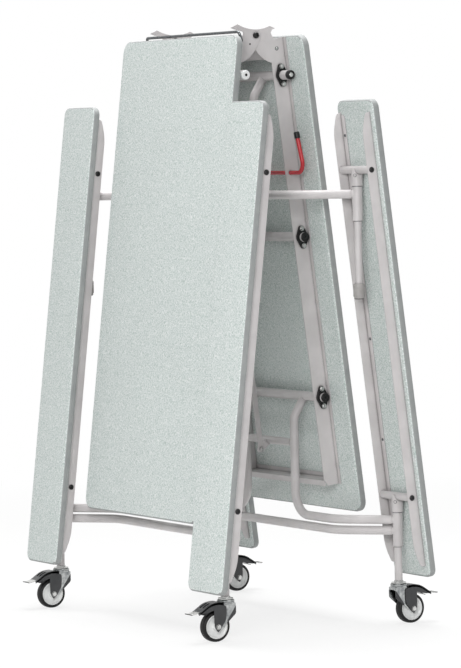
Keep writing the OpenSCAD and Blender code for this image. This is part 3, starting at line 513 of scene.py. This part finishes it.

# each leg's head and sleeve end in a rolled lip, with a dark ring under it as a painted shadow, and a screw holds
# the head on its tube
legTrim = {"reach": 96, "y": 545, "fall": 304, "headDrop": 50, "head": 18, "sleeve": 16, "sleeveLong": 109,
           "tube": 12.5, "screwDrop": 17, "screw": 4, "screwHigh": 2.6, "ring": 5.4, "ringHigh": 0.5,
           "ringDeep": 1, "screwSink": 0.3, "screwFacing": (-1, 0.75)}


def addLegTrim(side, shaft, body, name):
    t = legTrim
    bm = bmesh.new()
    for s in (-1, 1):
        leg = Vector((t["reach"], s * t["y"], -t["fall"])) * mm
        axis = sides[side] @ Matrix.Translation(shaft) @ Matrix.Translation(leg)
        for z, r, inner in ((-t["headDrop"], t["head"], t["sleeve"]),
                            (-t["headDrop"] - t["sleeveLong"], t["sleeve"], t["tube"])):
            place = axis @ Matrix.Translation((0, 0, z * mm))
            lip = [(inner - 0.4, 0), (r + 0.5, 0), (r + 0.9, 0.5), (r + 0.9, 2.0), (r - 0.2, 3.2),
                   (inner - 0.4, 3.2), (inner - 0.4, 0)]
            spinProfile(bm, lip, 36, place)
            # a dark ring just under the lip paints the shadow there
            shadowRing = [(inner - 0.3, -2.2), (inner + 0.25, -2.2), (inner + 0.25, -0.02), (inner - 0.3, -0.02),
                    (inner - 0.3, -2.2)]
            spinProfile(bm, shadowRing, 36, place, lambda c: 1)
        x, y = t["screwFacing"]
        out = Vector((x, y * s, 0)).normalized()
        turn = Vector((0, 0, 1)).rotation_difference(out).to_matrix().to_4x4()
        spot = Matrix.Translation((out * (t["head"] - t["screwSink"]) + Vector((0, 0, -t["screwDrop"]))) * mm)
        paint = set(bm.faces)
        addCylinder(bm, t["ring"], -t["ringDeep"], t["ringHigh"], axis @ spot @ turn, 20)
        paintNew(bm, paint, 1)
        addCrossScrew(bm, axis @ spot @ turn, t["screw"], t["screwHigh"])
    makePiece(name, bm, "grey_paint", body, (), (darkSteel,), smoothAngle=30)


for side in sides:
    addLegTrim(side, shaftOut, "frame_" + side, "casterLegTrim" + side.title())
    addLegTrim(side, shaftIn, "inner_" + side, "innerLegTrim" + side.title())

# welds where the bent tubes meet their shaft, the cross brace and the leg sleeves
frameWelds = {"tubeY": 152, "step": (41, 67), "tube": 14, "shaft": 15, "braceDrop": 149, "brace": 12.5,
              "reach": 96, "legY": 545, "kinkY": 395, "runDrop": 379, "runGap": 34, "sleeve": 16,
              "sink": 0.5, "sleeveSink": 1.5, "braceBead": 1.5, "runBead": 1.6}


def addFrameWelds(side, shaft, body, name, isOuter):
    w = frameWelds
    bm = bmesh.new()
    base = sides[side] @ Matrix.Translation(shaft)
    down = Vector((-w["step"][0], 0, -w["step"][1])).normalized()
    turn = Vector((0, 0, 1)).rotation_difference(down).to_matrix().to_4x4()
    for s in (-1, 1):
        start = Vector((0, s * w["tubeY"], 0)) + down * (w["shaft"] + w["sink"])
        addWeld(bm, base @ Matrix.Translation(start * mm) @ turn, w["tube"])
        bracePoint = Vector((-w["step"][0], s * (w["tubeY"] - w["tube"] + w["sink"]), -w["braceDrop"])) * mm
        addWeld(bm, base @ Matrix.Translation(bracePoint) @ facing(1), w["brace"], w["braceBead"])
        run = Vector((w["reach"] + w["step"][0], s * (w["legY"] - w["kinkY"]), 0)).normalized()
        turnRun = Vector((0, 0, 1)).rotation_difference(run).to_matrix().to_4x4()
        for level in ((0, -w["runGap"]) if isOuter else (0,)):
            sleeve = Vector((w["reach"], s * w["legY"], -w["runDrop"] + level))
            meet = sleeve - run * (w["sleeve"] + w["sleeveSink"])
            addWeld(bm, base @ Matrix.Translation(meet * mm) @ turnRun, w["tube"], w["runBead"])
    makePiece(name, bm, "grey_paint", body)


for side in sides:
    addFrameWelds(side, shaftOut, "frame_" + side, "casterFrameWelds" + side.title(), True)
    addFrameWelds(side, shaftIn, "inner_" + side, "innerFrameWelds" + side.title(), False)
print("welds laid")

# bolts through the flange bearings, ears and cross rails, with the boards' screws
bearingBolts = {"u": (137, 657, 1177), "spread": 28, "n": 78, "flange": 9, "web": {"right": 257.5, "left": 262.5},
                "sheet": 4, "washer": 8.2, "washerThick": 1.2, "head": 6.6, "headHigh": 4.6}
earBolts = {"u": 51, "n": 74, "washer": 6.5, "washerThick": 0.6, "head": 5.4, "headHigh": 2.4, "nutSeat": 3,
            "ring": 6.3, "ringHigh": 0.5, "flush": 4.4, "flushTop": 3.9, "flushHigh": 1.1}
innerNut = {"washerThick": 1.0, "headHigh": 3.8}
boardScrews = {"first": 75, "step": 265.6, "count": 6, "inset": 7, "under": 101, "head": 4.5, "high": 2.5,
               "rails": (60.5, 1437.5), "railY": (-170, 0, 170)}


def addTableFasteners(side):
    b, e, w = bearingBolts, earBolts, boardScrews
    web = b["web"][side]
    upsideDown = Matrix.Rotation(math.pi, 4, "X")
    bm = bmesh.new()
    for s in (-1, 1):
        for u in b["u"]:
            for step in (-b["spread"], b["spread"]):
                addHexBolt(bm, halfPlace(side, u + step, s * (web + b["flange"]), b["n"]) @ facing(s), b)
                addHexBolt(bm, halfPlace(side, u + step, s * (web - b["sheet"]), b["n"]) @ facing(-s),
                           {**b, **innerNut})
        ear = halfPlace(side, e["u"], s * web, e["n"]) @ facing(s)
        if side == "left":
            addHexBolt(bm, ear, e)
        else:  # the right ears turn inside the left ones, so their bolts are flush
            others = set(bm.faces)
            addCylinder(bm, e["ring"], 0, e["ringHigh"], ear, 28)
            paintNew(bm, others, 2)
            addCylinder(bm, e["flush"], e["ringHigh"], e["flushHigh"], ear, 24, e["flushTop"])
        addHexBolt(bm, halfPlace(side, e["u"], s * (web - b["sheet"] - e["nutSeat"]), e["n"]) @ facing(-s),
                   {**e, **innerNut})
    bolts = set(bm.faces)
    for s in (-1, 1):
        for i in range(w["count"]):
            place = halfPlace(side, w["first"] + i * w["step"], s * (web + w["inset"]), w["under"])
            addCrossScrew(bm, place @ upsideDown, w["head"], w["high"])
    for u in w["rails"]:
        for y in w["railY"]:
            addCrossScrew(bm, halfPlace(side, u, y, w["under"]) @ upsideDown, w["head"], w["high"])
    paintNew(bm, bolts, 1)  # the boards' screws are painted over with their flanges
    makePiece("tableFasteners" + side.title(), bm, "zinc_plate", "table_" + side, ("fasteners_" + side,),
              (greyCoat, darkSteel))


# round-headed socket bolts that hold the bench tubes, and the screws that hold the seat on its rails
benchBolts = {"face": 86, "head": 9, "high": 4, "socket": 3.2,
              "screwU": (110, 324.1, 5), "screwY": 71, "under": 17, "screw": 4.5, "screwHigh": 2.5}


def addBenchFasteners(side, end):
    b = benchBolts
    bm = bmesh.new()
    button = [(0, b["high"] - 2.6), (b["socket"], b["high"] - 2.6), (b["socket"], b["high"] - 0.3),
              (b["socket"] + 1, b["high"]), (b["head"] - 3.4, b["high"] - 0.2), (b["head"] - 1.1, b["high"] - 1.4),
              (b["head"], 0.7), (b["head"], 0), (0, 0)]
    for u in (0, shaftSpan / mm):
        for s in (-1, 1):
            spinProfile(bm, button, 24, benchPlace(side, end, u, s * b["face"], 0) @ facing(s))
    paintNew(bm, set(), 1)
    first, step, count = b["screwU"]
    for i in range(count):
        for s in (-1, 1):
            place = benchPlace(side, end, first + i * step - seat["inner"], s * b["screwY"], b["under"])
            addCrossScrew(bm, place @ Matrix.Rotation(math.pi, 4, "X"), b["screw"], b["screwHigh"])
    makePiece("benchFasteners" + side.title() + end.title(), bm, "dark_steel", "benches_" + side,
              ("bench_bolts_" + side,), (blackSteel,))


# button-head hinge bolts with a hexagon socket, their nuts inside the ears, and a black disc in each ear's hole
# that paints the hole's shade
hingeBolt = {"face": 262.5, "inside": 253.5, "shank": 6, "shankLong": 9, "socket": 4.9, "socketFloor": 4.2,
             "head": [(4.8, 8), (6.5, 8), (8.6, 7.1), (9.7, 5.2), (10, 3), (10, 0), (4.8, 0), (4.8, 8)],
             "nut": {"washer": 10, "washerThick": 1.6, "head": 9.4, "headHigh": 7.6}}
holeShadeDisc = {"u": 30, "n": 18, "r": 3.1, "deep": 3.8, "high": 0.3}


def addHingeBolts():
    b, holeShade = hingeBolt, holeShadeDisc
    bm = bmesh.new()
    for s in (-1, 1):
        place = halfPlace("left", 0, s * b["face"], 0) @ facing(s)
        spinProfile(bm, b["head"], 32, place)
        addCylinder(bm, b["socket"], 0, b["socketFloor"], place, 6)
        inner = halfPlace("left", 0, s * (b["inside"] - 0.5), 0) @ facing(-s)
        addHexBolt(bm, inner, b["nut"])
        addCylinder(bm, b["shank"], -b["shankLong"], 0, inner, 24)
        # a black disc in the ear's hole as painted shade
        hole = halfPlace("left", holeShade["u"], s * b["face"], holeShade["n"]) @ facing(s)
        addCylinder(bm, holeShade["r"], -holeShade["deep"], holeShade["high"], hole, 20)
    makePiece("hingeBolts", bm, "black_steel", bodyOf["hinge_bolts"], ("hinge_bolts",))


for side in sides:
    addTableFasteners(side)
    for end in ends:
        addBenchFasteners(side, end)
addHingeBolts()
print("bolts and screws made")


# a piece drawn up along +Z, turned to go on from start through stop, with its origin at stop
def alongLine(start, stop):
    turn = Vector((0, 0, 1)).rotation_difference(stop - start).to_matrix().to_4x4()
    return Matrix.Translation(stop) @ turn


bendSteps = 10


# a round rod along its corners, each given as a point and a bend radius
def addRod(bm, corners, r):
    line = [corners[0][0]]
    for (before, _), (at, bend), (after, _) in zip(corners, corners[1:], corners[2:]):
        back, on = (before - at).normalized(), (after - at).normalized()
        half = back.angle(on) / 2
        centre = at + (back + on).normalized() * bend * mm / math.sin(half)
        start = at + back * bend * mm / math.tan(half) - centre
        sweep = math.pi - 2 * half
        axis = start.cross(at + on * bend * mm / math.tan(half) - centre)
        line += [centre + Matrix.Rotation(sweep * i / bendSteps, 3, axis) @ start for i in range(bendSteps + 1)]
    line.append(corners[-1][0])
    curve = bpy.data.curves.new("rod", "CURVE")
    curve.dimensions = "3D"
    curve.bevel_depth = r * mm
    curve.bevel_resolution = 6
    curve.use_fill_caps = True
    spline = curve.splines.new("POLY")
    spline.points.add(len(line) - 1)
    for point, at in zip(spline.points, line):
        point.co = (*at, 1)
    shape = bpy.data.objects.new("rod", curve)
    bm.from_mesh(shape.to_mesh())
    shape.to_mesh_clear()
    bpy.data.objects.remove(shape)
    bpy.data.curves.remove(curve)
    bmesh.ops.remove_doubles(bm, verts=bm.verts, dist=0.01 * mm)
    bmesh.ops.recalc_face_normals(bm, faces=bm.faces)


# bent steel rods: the red release handle, whose rod runs on inside to the far apron, and the dark latch bail
handle = {"u": 448, "n": 67, "inside": -253.2, "out": 345, "bend": 34, "lever": 126, "lean": 20, "r": 6.8,
          "cap": [(0, -17), (7.4, -17), (9, -16.2), (9.3, -14.5), (9.3, 1), (8.6, 3), (6.6, 4.4), (0, 4.8)]}
bail = {"pin": (28, 68), "rod": (0, 84), "inside": 258.7, "half": 299, "bend": 10, "r": 4.6}


def addRods():
    h = handle
    foot = halfPlace("right", h["u"], -h["out"], h["n"]).translation
    tip = halfPlace("right", h["u"] - h["lever"], -h["out"] + h["lean"], h["n"]).translation
    bm = bmesh.new()
    inner = halfPlace("right", h["u"], -h["inside"], h["n"]).translation
    addRod(bm, [(inner, 0), (foot, h["bend"]), (tip, 0)], h["r"])
    makePiece("releaseHandle", bm, "red_paint", "handle", ("release_handle",))
    bm = bmesh.new()
    spinProfile(bm, h["cap"], 32, alongLine(foot, tip))
    makePiece("handleCap", bm, "black_plastic", "handle", ("handle_cap",))
    b = bail
    spots = [(b["pin"], b["inside"], 0), (b["pin"], b["half"], b["bend"]), (b["rod"], b["half"], b["bend"])]
    spots += [(at, -y, bend) for at, y, bend in reversed(spots)]
    bm = bmesh.new()
    addRod(bm, [(halfPlace("left", u, y, n).translation, bend) for (u, n), y, bend in spots], b["r"])
    makePiece("latchBail", bm, slotOf["latch_bail"], "bail", ("latch_bail",))


# what closes the shaft ends, as place, low, high and radius, and the drag links' own bolts
shaftEnds = {"chamfer": 1, "plug": (346.5, 3.5, 12.2, 5.2), "cap": (307.5, 2, 13.5, 7),
             "link": (77, 178), "linkFace": 2.8,
             "linkBolt": {"washer": 8, "washerThick": 1.2, "head": 6.6, "headHigh": 5}}


def addShaftEnds():
    e = shaftEnds
    for side, kind, slot in (("left", "plug", "black_plastic"), ("right", "cap", "zinc_plate")):
        at, low, high, r = e[kind]
        bm = bmesh.new()
        for s in (-1, 1):
            place = sides[side] @ Matrix.Translation(shaftIn + Vector((0, s * at * mm, 0))) @ facing(s)
            addCylinder(bm, r, low, high - e["chamfer"], place, 24)
            addCylinder(bm, r, high - e["chamfer"], high, place, 24, r - e["chamfer"])
        makePiece(kind + "Centres", bm, slot, "inner_" + side)
    for side in sides:
        bm = bmesh.new()
        for s in (-1, 1):
            back, down = e["link"]
            spot = Vector((shaftOut.x, 0, shaftOut.z)) + Vector((-back, s * e["linkFace"], -down)) * mm
            addHexBolt(bm, sides[side] @ Matrix.Translation(spot) @ facing(s), e["linkBolt"])
        makePiece("linkBolts" + side.title(), bm, "zinc_plate", "frame_" + side)


addRods()
addShaftEnds()
print("rods and shaft ends made")

# moulded foot with two grooves round its sleeve and a thin black rubber sole
foot = {"profile": [(0, 0), (13.2, 0), (15.2, 0.9), (16.2, 2.6), (16.5, 7.6), (17.6, 8.0), (18.2, 9.0),
                    (18.5, 11.0), (18.5, 30.0), (18.0, 30.6), (18.0, 32.0), (18.5, 32.6), (18.5, 35.0),
                    (18.0, 35.6), (18.0, 37.0), (18.5, 37.6), (18.5, 44.6), (17.9, 47.4), (16.4, 49.0),
                    (12.6, 49.0), (12.6, 12.0), (0, 12.0)],
        "tip": 2.4}


def addFeet(side):
    bm = bmesh.new()
    for s in (-1, 1):
        place = sides[side] @ Matrix.Translation((legIn, s * benchY, shaftIn.z - floorDrop))
        spinProfile(bm, foot["profile"], 36, place, lambda c: 1 if c.z < foot["tip"] else 0)
    makePiece("feet" + side.title(), bm, "grey_foot", "inner_" + side, ("feet_" + side,), (tyreRubber,))


for side in sides:
    addFeet(side)
print("feet made")

# the inner cross rail's lip reaches in under the hinge
railLip = {"u": (37, 67), "n": 52, "thick": 3, "half": 253}


def addRailLip():
    r = railLip
    bm = bmesh.new()
    flat = halfPlace("right", 0, 0, r["n"]) @ Matrix.Rotation(math.pi / 2, 4, "X")
    (a, b), y = r["u"], r["half"]
    addPlate(bm, [(a, y), (b, y), (b, -y), (a, -y)], {}, 0, r["thick"], flat)
    makePiece("railLip", bm, "grey_paint", "table_right")


# bench rails: a web with a long taper to a small nose at each end, and a flange turned in under the seat
benchRail = {"inset": 38, "deep": 35, "nose": 17, "taper": 58, "face": 86, "sheet": 3, "flange": 22,
             "flangeInset": 7, "noseRound": 9, "bendRound": 22, "flangeRound": 10, "lap": 0.5}


def addBenchRails(side, end):
    r = benchRail
    bm = bmesh.new()
    long = seat["length"] - 2 * r["inset"]
    place = benchPlace(side, end, r["inset"] - seat["inner"], 0, seat["under"])
    web = [(0, 0), (0, -r["nose"]), (r["taper"], -r["deep"]), (long - r["taper"], -r["deep"]),
           (long, -r["nose"]), (long, 0)]
    webRounds = {1: r["noseRound"], 2: r["bendRound"], 3: r["bendRound"], 4: r["noseRound"]}
    flat = place @ Matrix.Rotation(math.pi / 2, 4, "X")
    low, high = r["flangeInset"], long - r["flangeInset"]
    for s in (-1, 1):
        addPlate(bm, web, webRounds, r["face"] - r["sheet"] if s > 0 else -r["face"], r["sheet"], place)
        rim, lip = s * (r["face"] - r["sheet"] + r["lap"]), s * (r["face"] - r["flange"])
        addPlate(bm, [(low, rim), (low, lip), (high, lip), (high, rim)],
                 {1: r["flangeRound"], 2: r["flangeRound"]}, -r["sheet"], r["sheet"], flat)
    makePiece("benchRails" + side.title() + end.title(), bm, "grey_paint", "benches_" + side,
              ("bench_rails_" + side,), smoothAngle=30)


addRailLip()
for side in sides:
    for end in ends:
        addBenchRails(side, end)
print("bench rails made")

# one caster is drawn with its stem on the Z axis and its wheel trailing along +X, then set under each leg
caster = {"trail": 40, "axle": 47.5, "axleRadius": 5, "axleHalf": 22.9, "plateY": 17.5, "plate": 2.5,
          "panel": 0.5, "reflectionPlateProud": 0.6, "cheekY": 20.4, "cheek": 2.2, "boltFace": 22.8,
          "bolt": {"washer": 8.4, "washerThick": 1.2, "head": 7.4, "headHigh": 4.4}}
# the fork's turning head as (radius, height); its top inside the rim is dark, a painted reflection of the shiny
# dome
forkHead = [(7, 116.4), (24.6, 116.4), (26.6, 117.3), (27.5, 119.0), (27.5, 121.0), (26.4, 121.8), (26.4, 122.8),
            (27.5, 123.6), (27.4, 126.0), (25.6, 128.2), (23.0, 128.9), (7, 128.9), (7, 116.4)]
headReflectionTop = {"above": 124, "within": 25.5}
# the fork's flank, a dark plate on its front edge that paints the dark reflection in the curved zinc, and the
# arched skirt across its front, in X and Z
forkSide = [(-24.5, 117.5), (-24.5, 86), (30, 39.5), (46, 38.5), (49, 45), (48.5, 56), (17, 117.5)]
forkRounds = {1: 6, 2: 8, 3: 7, 4: 5, 5: 3}
forkReflectionPlate = [(-24.8, 109), (-24.8, 85), (5, 59), (7, 64)]
reflectionPlateRounds = {0: 1, 1: 5, 2: 2, 3: 1}
forkSkirt = {"low": 104, "arch": 109, "bend": 7, "inset": 0.5, "rounds": {2: 4, 3: 4}}
# the brake pedal: a bracket on each flank, the arch over the wheel, the shoe under it and the tread at its tip
cheekSide = [(25, 49), (12, 68), (10, 90), (10, 105), (12, 110.5), (18, 113), (22, 122), (38, 123.2), (54, 121.5),
             (66, 117.5), (77, 112), (88, 104.5), (99, 97.5), (107, 93.5), (101, 91), (88, 91.5), (74, 94),
             (54, 100), (53.4, 66), (53, 51), (46.5, 38), (41, 31.5), (34, 37)]
cheekRounds = {0: 2, 1: 4, 3: 2, 7: 3, 20: 3}
arch = {"halfWidth": 22.6, "thick": 2.2, "lip": 8.5,
        "slots": [{"x": (60, 90), "y": (-13, -4)}, {"x": (60, 90), "y": (4, 13)}],
        "line": [(20, 121.5), (34, 124.4), (48, 124), (62, 121.2), (75, 115.6), (87, 107.8), (98, 100.4),
                 (107, 95.8)]}
shoe = {"halfWidth": 20.6, "thick": 1.8, "lastRound": 5,
        "line": [(53, 101.6), (62, 99.6), (70, 96), (79, 91.4), (89, 88.2)]}
tread = {"halfWidth": 20, "thick": 2.6, "lip": 2.0, "lastRound": 6,
         "line": [(104, 97.6), (112, 94.8), (120, 93.0), (128, 92.0), (134, 92.8)]}
wheelSection = [(5.2, -17), (10.6, -17), (12, -15.8), (13.6, -10.6), (16, -9.8), (29.5, -9.2), (31.4, -9.9),
                (33.2, -12.6), (34.4, -13.4), (37.5, -13.2), (37.5, 13.2), (34.4, 13.4), (33.2, 12.6), (31.4, 9.9),
                (29.5, 9.2), (16, 9.8), (13.6, 10.6), (12, 15.8), (10.6, 17), (5.2, 17), (5.2, -17)]
tyreSection = [(37.5, -13.0), (38.6, -14.4), (40.4, -15.0), (42.6, -14.7), (45.0, -13.2), (46.6, -10.6),
               (47.2, -7.4), (47.3, -6.2), (46.5, -5.7), (46.5, -5.1), (47.4, -4.6), (47.5, 0), (47.4, 4.6),
               (46.5, 5.1), (46.5, 5.7), (47.3, 6.2), (47.2, 7.4), (46.6, 10.6), (45.0, 13.2), (42.6, 14.7),
               (40.4, 15.0), (38.6, 14.4), (37.5, 13.0), (37.5, -13.0)]


def casterPlace(side, end):
    return Matrix.Translation((0, ends[end] * benchY, 0)) @ sides[side] @ Matrix.Translation((benchPivot.x, 0, 0))


def axlePlace(side, end, s=1):
    spot = Matrix.Translation((caster["trail"] * mm, 0, caster["axle"] * mm))
    return casterPlace(side, end) @ spot @ facing(s)


def isPaintedReflectionTop(c):
    return c.z > headReflectionTop["above"] and math.hypot(c.x, c.y) < headReflectionTop["within"]


def addFork(side, end):
    c, k = caster, forkSkirt
    base = casterPlace(side, end)
    bm = bmesh.new()
    # the dome's top inside its rim takes the dark paint as a painted reflection
    spinProfile(bm, forkHead, 44, base, lambda at: 1 if isPaintedReflectionTop(at) else 0)
    for s in (-1, 1):
        y = c["plateY"] if s > 0 else -c["plateY"] - c["plate"]
        addPlate(bm, forkSide, forkRounds, y, c["plate"], base, c["panel"])
        bright = set(bm.faces)
        # a dark plate over the flank's front edge, as a painted reflection in the curved zinc
        addPlate(bm, forkReflectionPlate, reflectionPlateRounds, y + s * c["reflectionPlateProud"], c["plate"], base)
        paintNew(bm, bright, 1)
        plates = set(bm.faces)
        addHexBolt(bm, axlePlace(side, end, s) @ Matrix.Translation((0, 0, c["boltFace"] * mm)), c["bolt"])
        paintNew(bm, plates, 2)
    addCylinder(bm, c["axleRadius"], -c["axleHalf"], c["axleHalf"], axlePlace(side, end), 20)
    front, top = forkSide[0]
    w = c["plateY"] + c["plate"] - k["inset"]
    skirt = [(-w, top), (-w, k["low"]), (-w + k["bend"], k["arch"]), (w - k["bend"], k["arch"]), (w, k["low"]),
             (w, top)]
    across = base @ Matrix.Translation((front * mm, 0, 0)) @ Matrix.Rotation(math.pi / 2, 4, "Z")
    addPlate(bm, skirt, k["rounds"], -c["plate"], c["plate"], across)
    key = "fork_" + side + "_" + end
    fork = makePiece("casterFork" + side.title() + end.title(), bm, "zinc_plate", key, (key,),
                     (brakeCoat, zinc), smoothAngle=30)
    fork.data.materials[0] = forkZinc


def addCaster(side, end):
    key = side + "_" + end
    title = side.title() + end.title()
    base = casterPlace(side, end)
    c = caster
    addFork(side, end)
    bm = bmesh.new()
    for s in (-1, 1):
        y = c["cheekY"] if s > 0 else -c["cheekY"] - c["cheek"]
        addPlate(bm, cheekSide, cheekRounds, y, c["cheek"], base)
    addStrip(bm, arch, base)
    addStrip(bm, shoe, base)
    makePiece("brakePedal" + title, bm, "brake_paint", "pedal_" + key, ("pedal_" + key,), smoothAngle=30)
    bm = bmesh.new()
    addStrip(bm, tread, base)
    makePiece("brakeTread" + title, bm, "zinc_plate", "pedal_" + key, smoothAngle=40)
    bm = bmesh.new()
    spinProfile(bm, wheelSection, 64, axlePlace(side, end))
    makePiece("wheelCentre" + title, bm, "white_plastic", "wheel_" + key, ("wheel_" + key,), smoothAngle=40)
    bm = bmesh.new()
    spinProfile(bm, tyreSection, 72, axlePlace(side, end))
    makePiece("tyre" + title, bm, "black_tyre", "wheel_" + key, ("tyre_" + key,), smoothAngle=40)


for side in sides:
    for end in ends:
        addCaster(side, end)
print("casters made")

# the photograph's camera: angles in degrees, places in millimetres
camera = {"az": -30.18, "el": 2.9, "roll": -1.21, "target": (37.6, 0, 911.8), "distance": 12037, "lens": 200.2,
          "sensor": 36, "reach": 60}


def placeCamera():
    az, el, roll = (math.radians(camera[k]) for k in ("az", "el", "roll"))
    back = Vector((math.sin(az) * math.cos(el), -math.cos(az) * math.cos(el), math.sin(el)))
    level = Vector((math.cos(az), math.sin(az), 0))
    up = back.cross(level)
    right = math.cos(roll) * level + math.sin(roll) * up
    tilted = math.cos(roll) * up - math.sin(roll) * level
    data = bpy.data.cameras.new("camera")
    data.lens = camera["lens"]
    data.sensor_width = camera["sensor"]
    data.clip_end = camera["reach"]
    thing = bpy.data.objects.new("camera", data)
    where = (Vector(camera["target"]) + back * camera["distance"]) * mm
    turn = Matrix((right, tilted, back)).transposed().to_4x4()
    thing.matrix_world = Matrix.Translation(where) @ turn
    bpy.context.scene.collection.objects.link(thing)
    bpy.context.scene.camera = thing


# 1 for what the camera sees, straight, through glass or by reflection, and 0 for the light that pieces get
def directlySeen(material):
    path = addNode(material, "ShaderNodeLightPath")
    eye = addNode(material, "ShaderNodeMath", {"operation": "MAXIMUM"},
                  {0: (path, "Is Camera Ray"), 1: (path, "Is Transmission Ray")})
    return addNode(material, "ShaderNodeMath", {"operation": "MAXIMUM"},
                   {0: (eye, "Value"), 1: (path, "Is Glossy Ray")})


# matt paper floor, whiter with distance from the table, so that only the table's own shadow marks it
paperFade = {"from": 1.5, "to": 5.0, "near": 0.78, "far": 1.0}  # distances in metres, then shares of white


def floorMaterial():
    m = newMaterial("white paper floor")
    paper = addNode(m, "ShaderNodeBsdfPrincipled", {"Base Color": linearColour("#F2F2F1"), "Roughness": 0.9})
    glow = addNode(m, "ShaderNodeEmission", {"Strength": 1.0})
    place = addNode(m, "ShaderNodeTexCoord")
    away = addNode(m, "ShaderNodeVectorMath", {"operation": "LENGTH"}, {0: (place, "Object")})
    share = addNode(m, "ShaderNodeMapRange", {"From Min": paperFade["from"], "From Max": paperFade["to"],
                                              "To Min": paperFade["near"], "To Max": paperFade["far"]},
                    {"Value": (away, "Value")})
    white = addNode(m, "ShaderNodeMath", {"operation": "MULTIPLY"},
                    {0: (directlySeen(m), "Value"), 1: (share, "Result")})
    mixed = addNode(m, "ShaderNodeMixShader", {},
                    {0: (white, "Value"), 1: (paper, "BSDF"), 2: (glow, "Emission")})
    addNode(m, "ShaderNodeOutputMaterial", {}, {"Surface": (mixed, "Shader")})
    return m


floorRadius = 30


def makeFloor():
    bm = bmesh.new()
    bmesh.ops.create_circle(bm, cap_ends=True, radius=floorRadius, segments=64)
    mesh = bpy.data.meshes.new("floor")
    bm.to_mesh(mesh)
    bm.free()
    mesh.materials.append(floorMaterial())
    floor = bpy.data.objects.new("floor", mesh)
    bpy.context.scene.collection.objects.link(floor)


# white room seen by the camera and in reflections, a softer one for the light that it gives
room = {"seen": 1.0, "lit": 0.24, "tint": (0.97, 0.98, 1, 1)}


def makeWorld():
    world = bpy.data.worlds.new("studio")
    bpy.context.scene.world = world
    world.use_nodes = True
    world.node_tree.nodes.clear()
    white = addNode(world, "ShaderNodeBackground", {"Color": (1, 1, 1, 1), "Strength": room["seen"]})
    soft = addNode(world, "ShaderNodeBackground", {"Color": room["tint"], "Strength": room["lit"]})
    mixed = addNode(world, "ShaderNodeMixShader", {},
                    {0: (directlySeen(world), "Value"), 1: (soft, "Background"), 2: (white, "Background")})
    addNode(world, "ShaderNodeOutputWorld", {}, {"Surface": (mixed, "Shader")})


# round soft lamps, placed in metres and turned to the middle of the table's height
lamps = {
    "key": {"at": (-3.6, -4.6, 2.6), "size": 2.6, "watts": 174},
    "top": {"at": (0.3, 0.6, 5.6), "size": 3.5, "watts": 340},
}
lampAim = Vector((0, 0, 0.9))


def makeLamp(name, spec):
    data = bpy.data.lights.new(name, "AREA")
    data.shape = "DISK"
    data.size = spec["size"]
    data.energy = spec["watts"]
    lamp = bpy.data.objects.new(name, data)
    at = Vector(spec["at"])
    aim = (lampAim - at).to_track_quat("-Z", "Y").to_matrix().to_4x4()
    lamp.matrix_world = Matrix.Translation(at) @ aim
    bpy.context.scene.collection.objects.link(lamp)


placeCamera()
makeFloor()
makeWorld()
for name, spec in lamps.items():
    makeLamp(name, spec)
bpy.context.scene.view_settings.view_transform = "Standard"
print("studio ready")
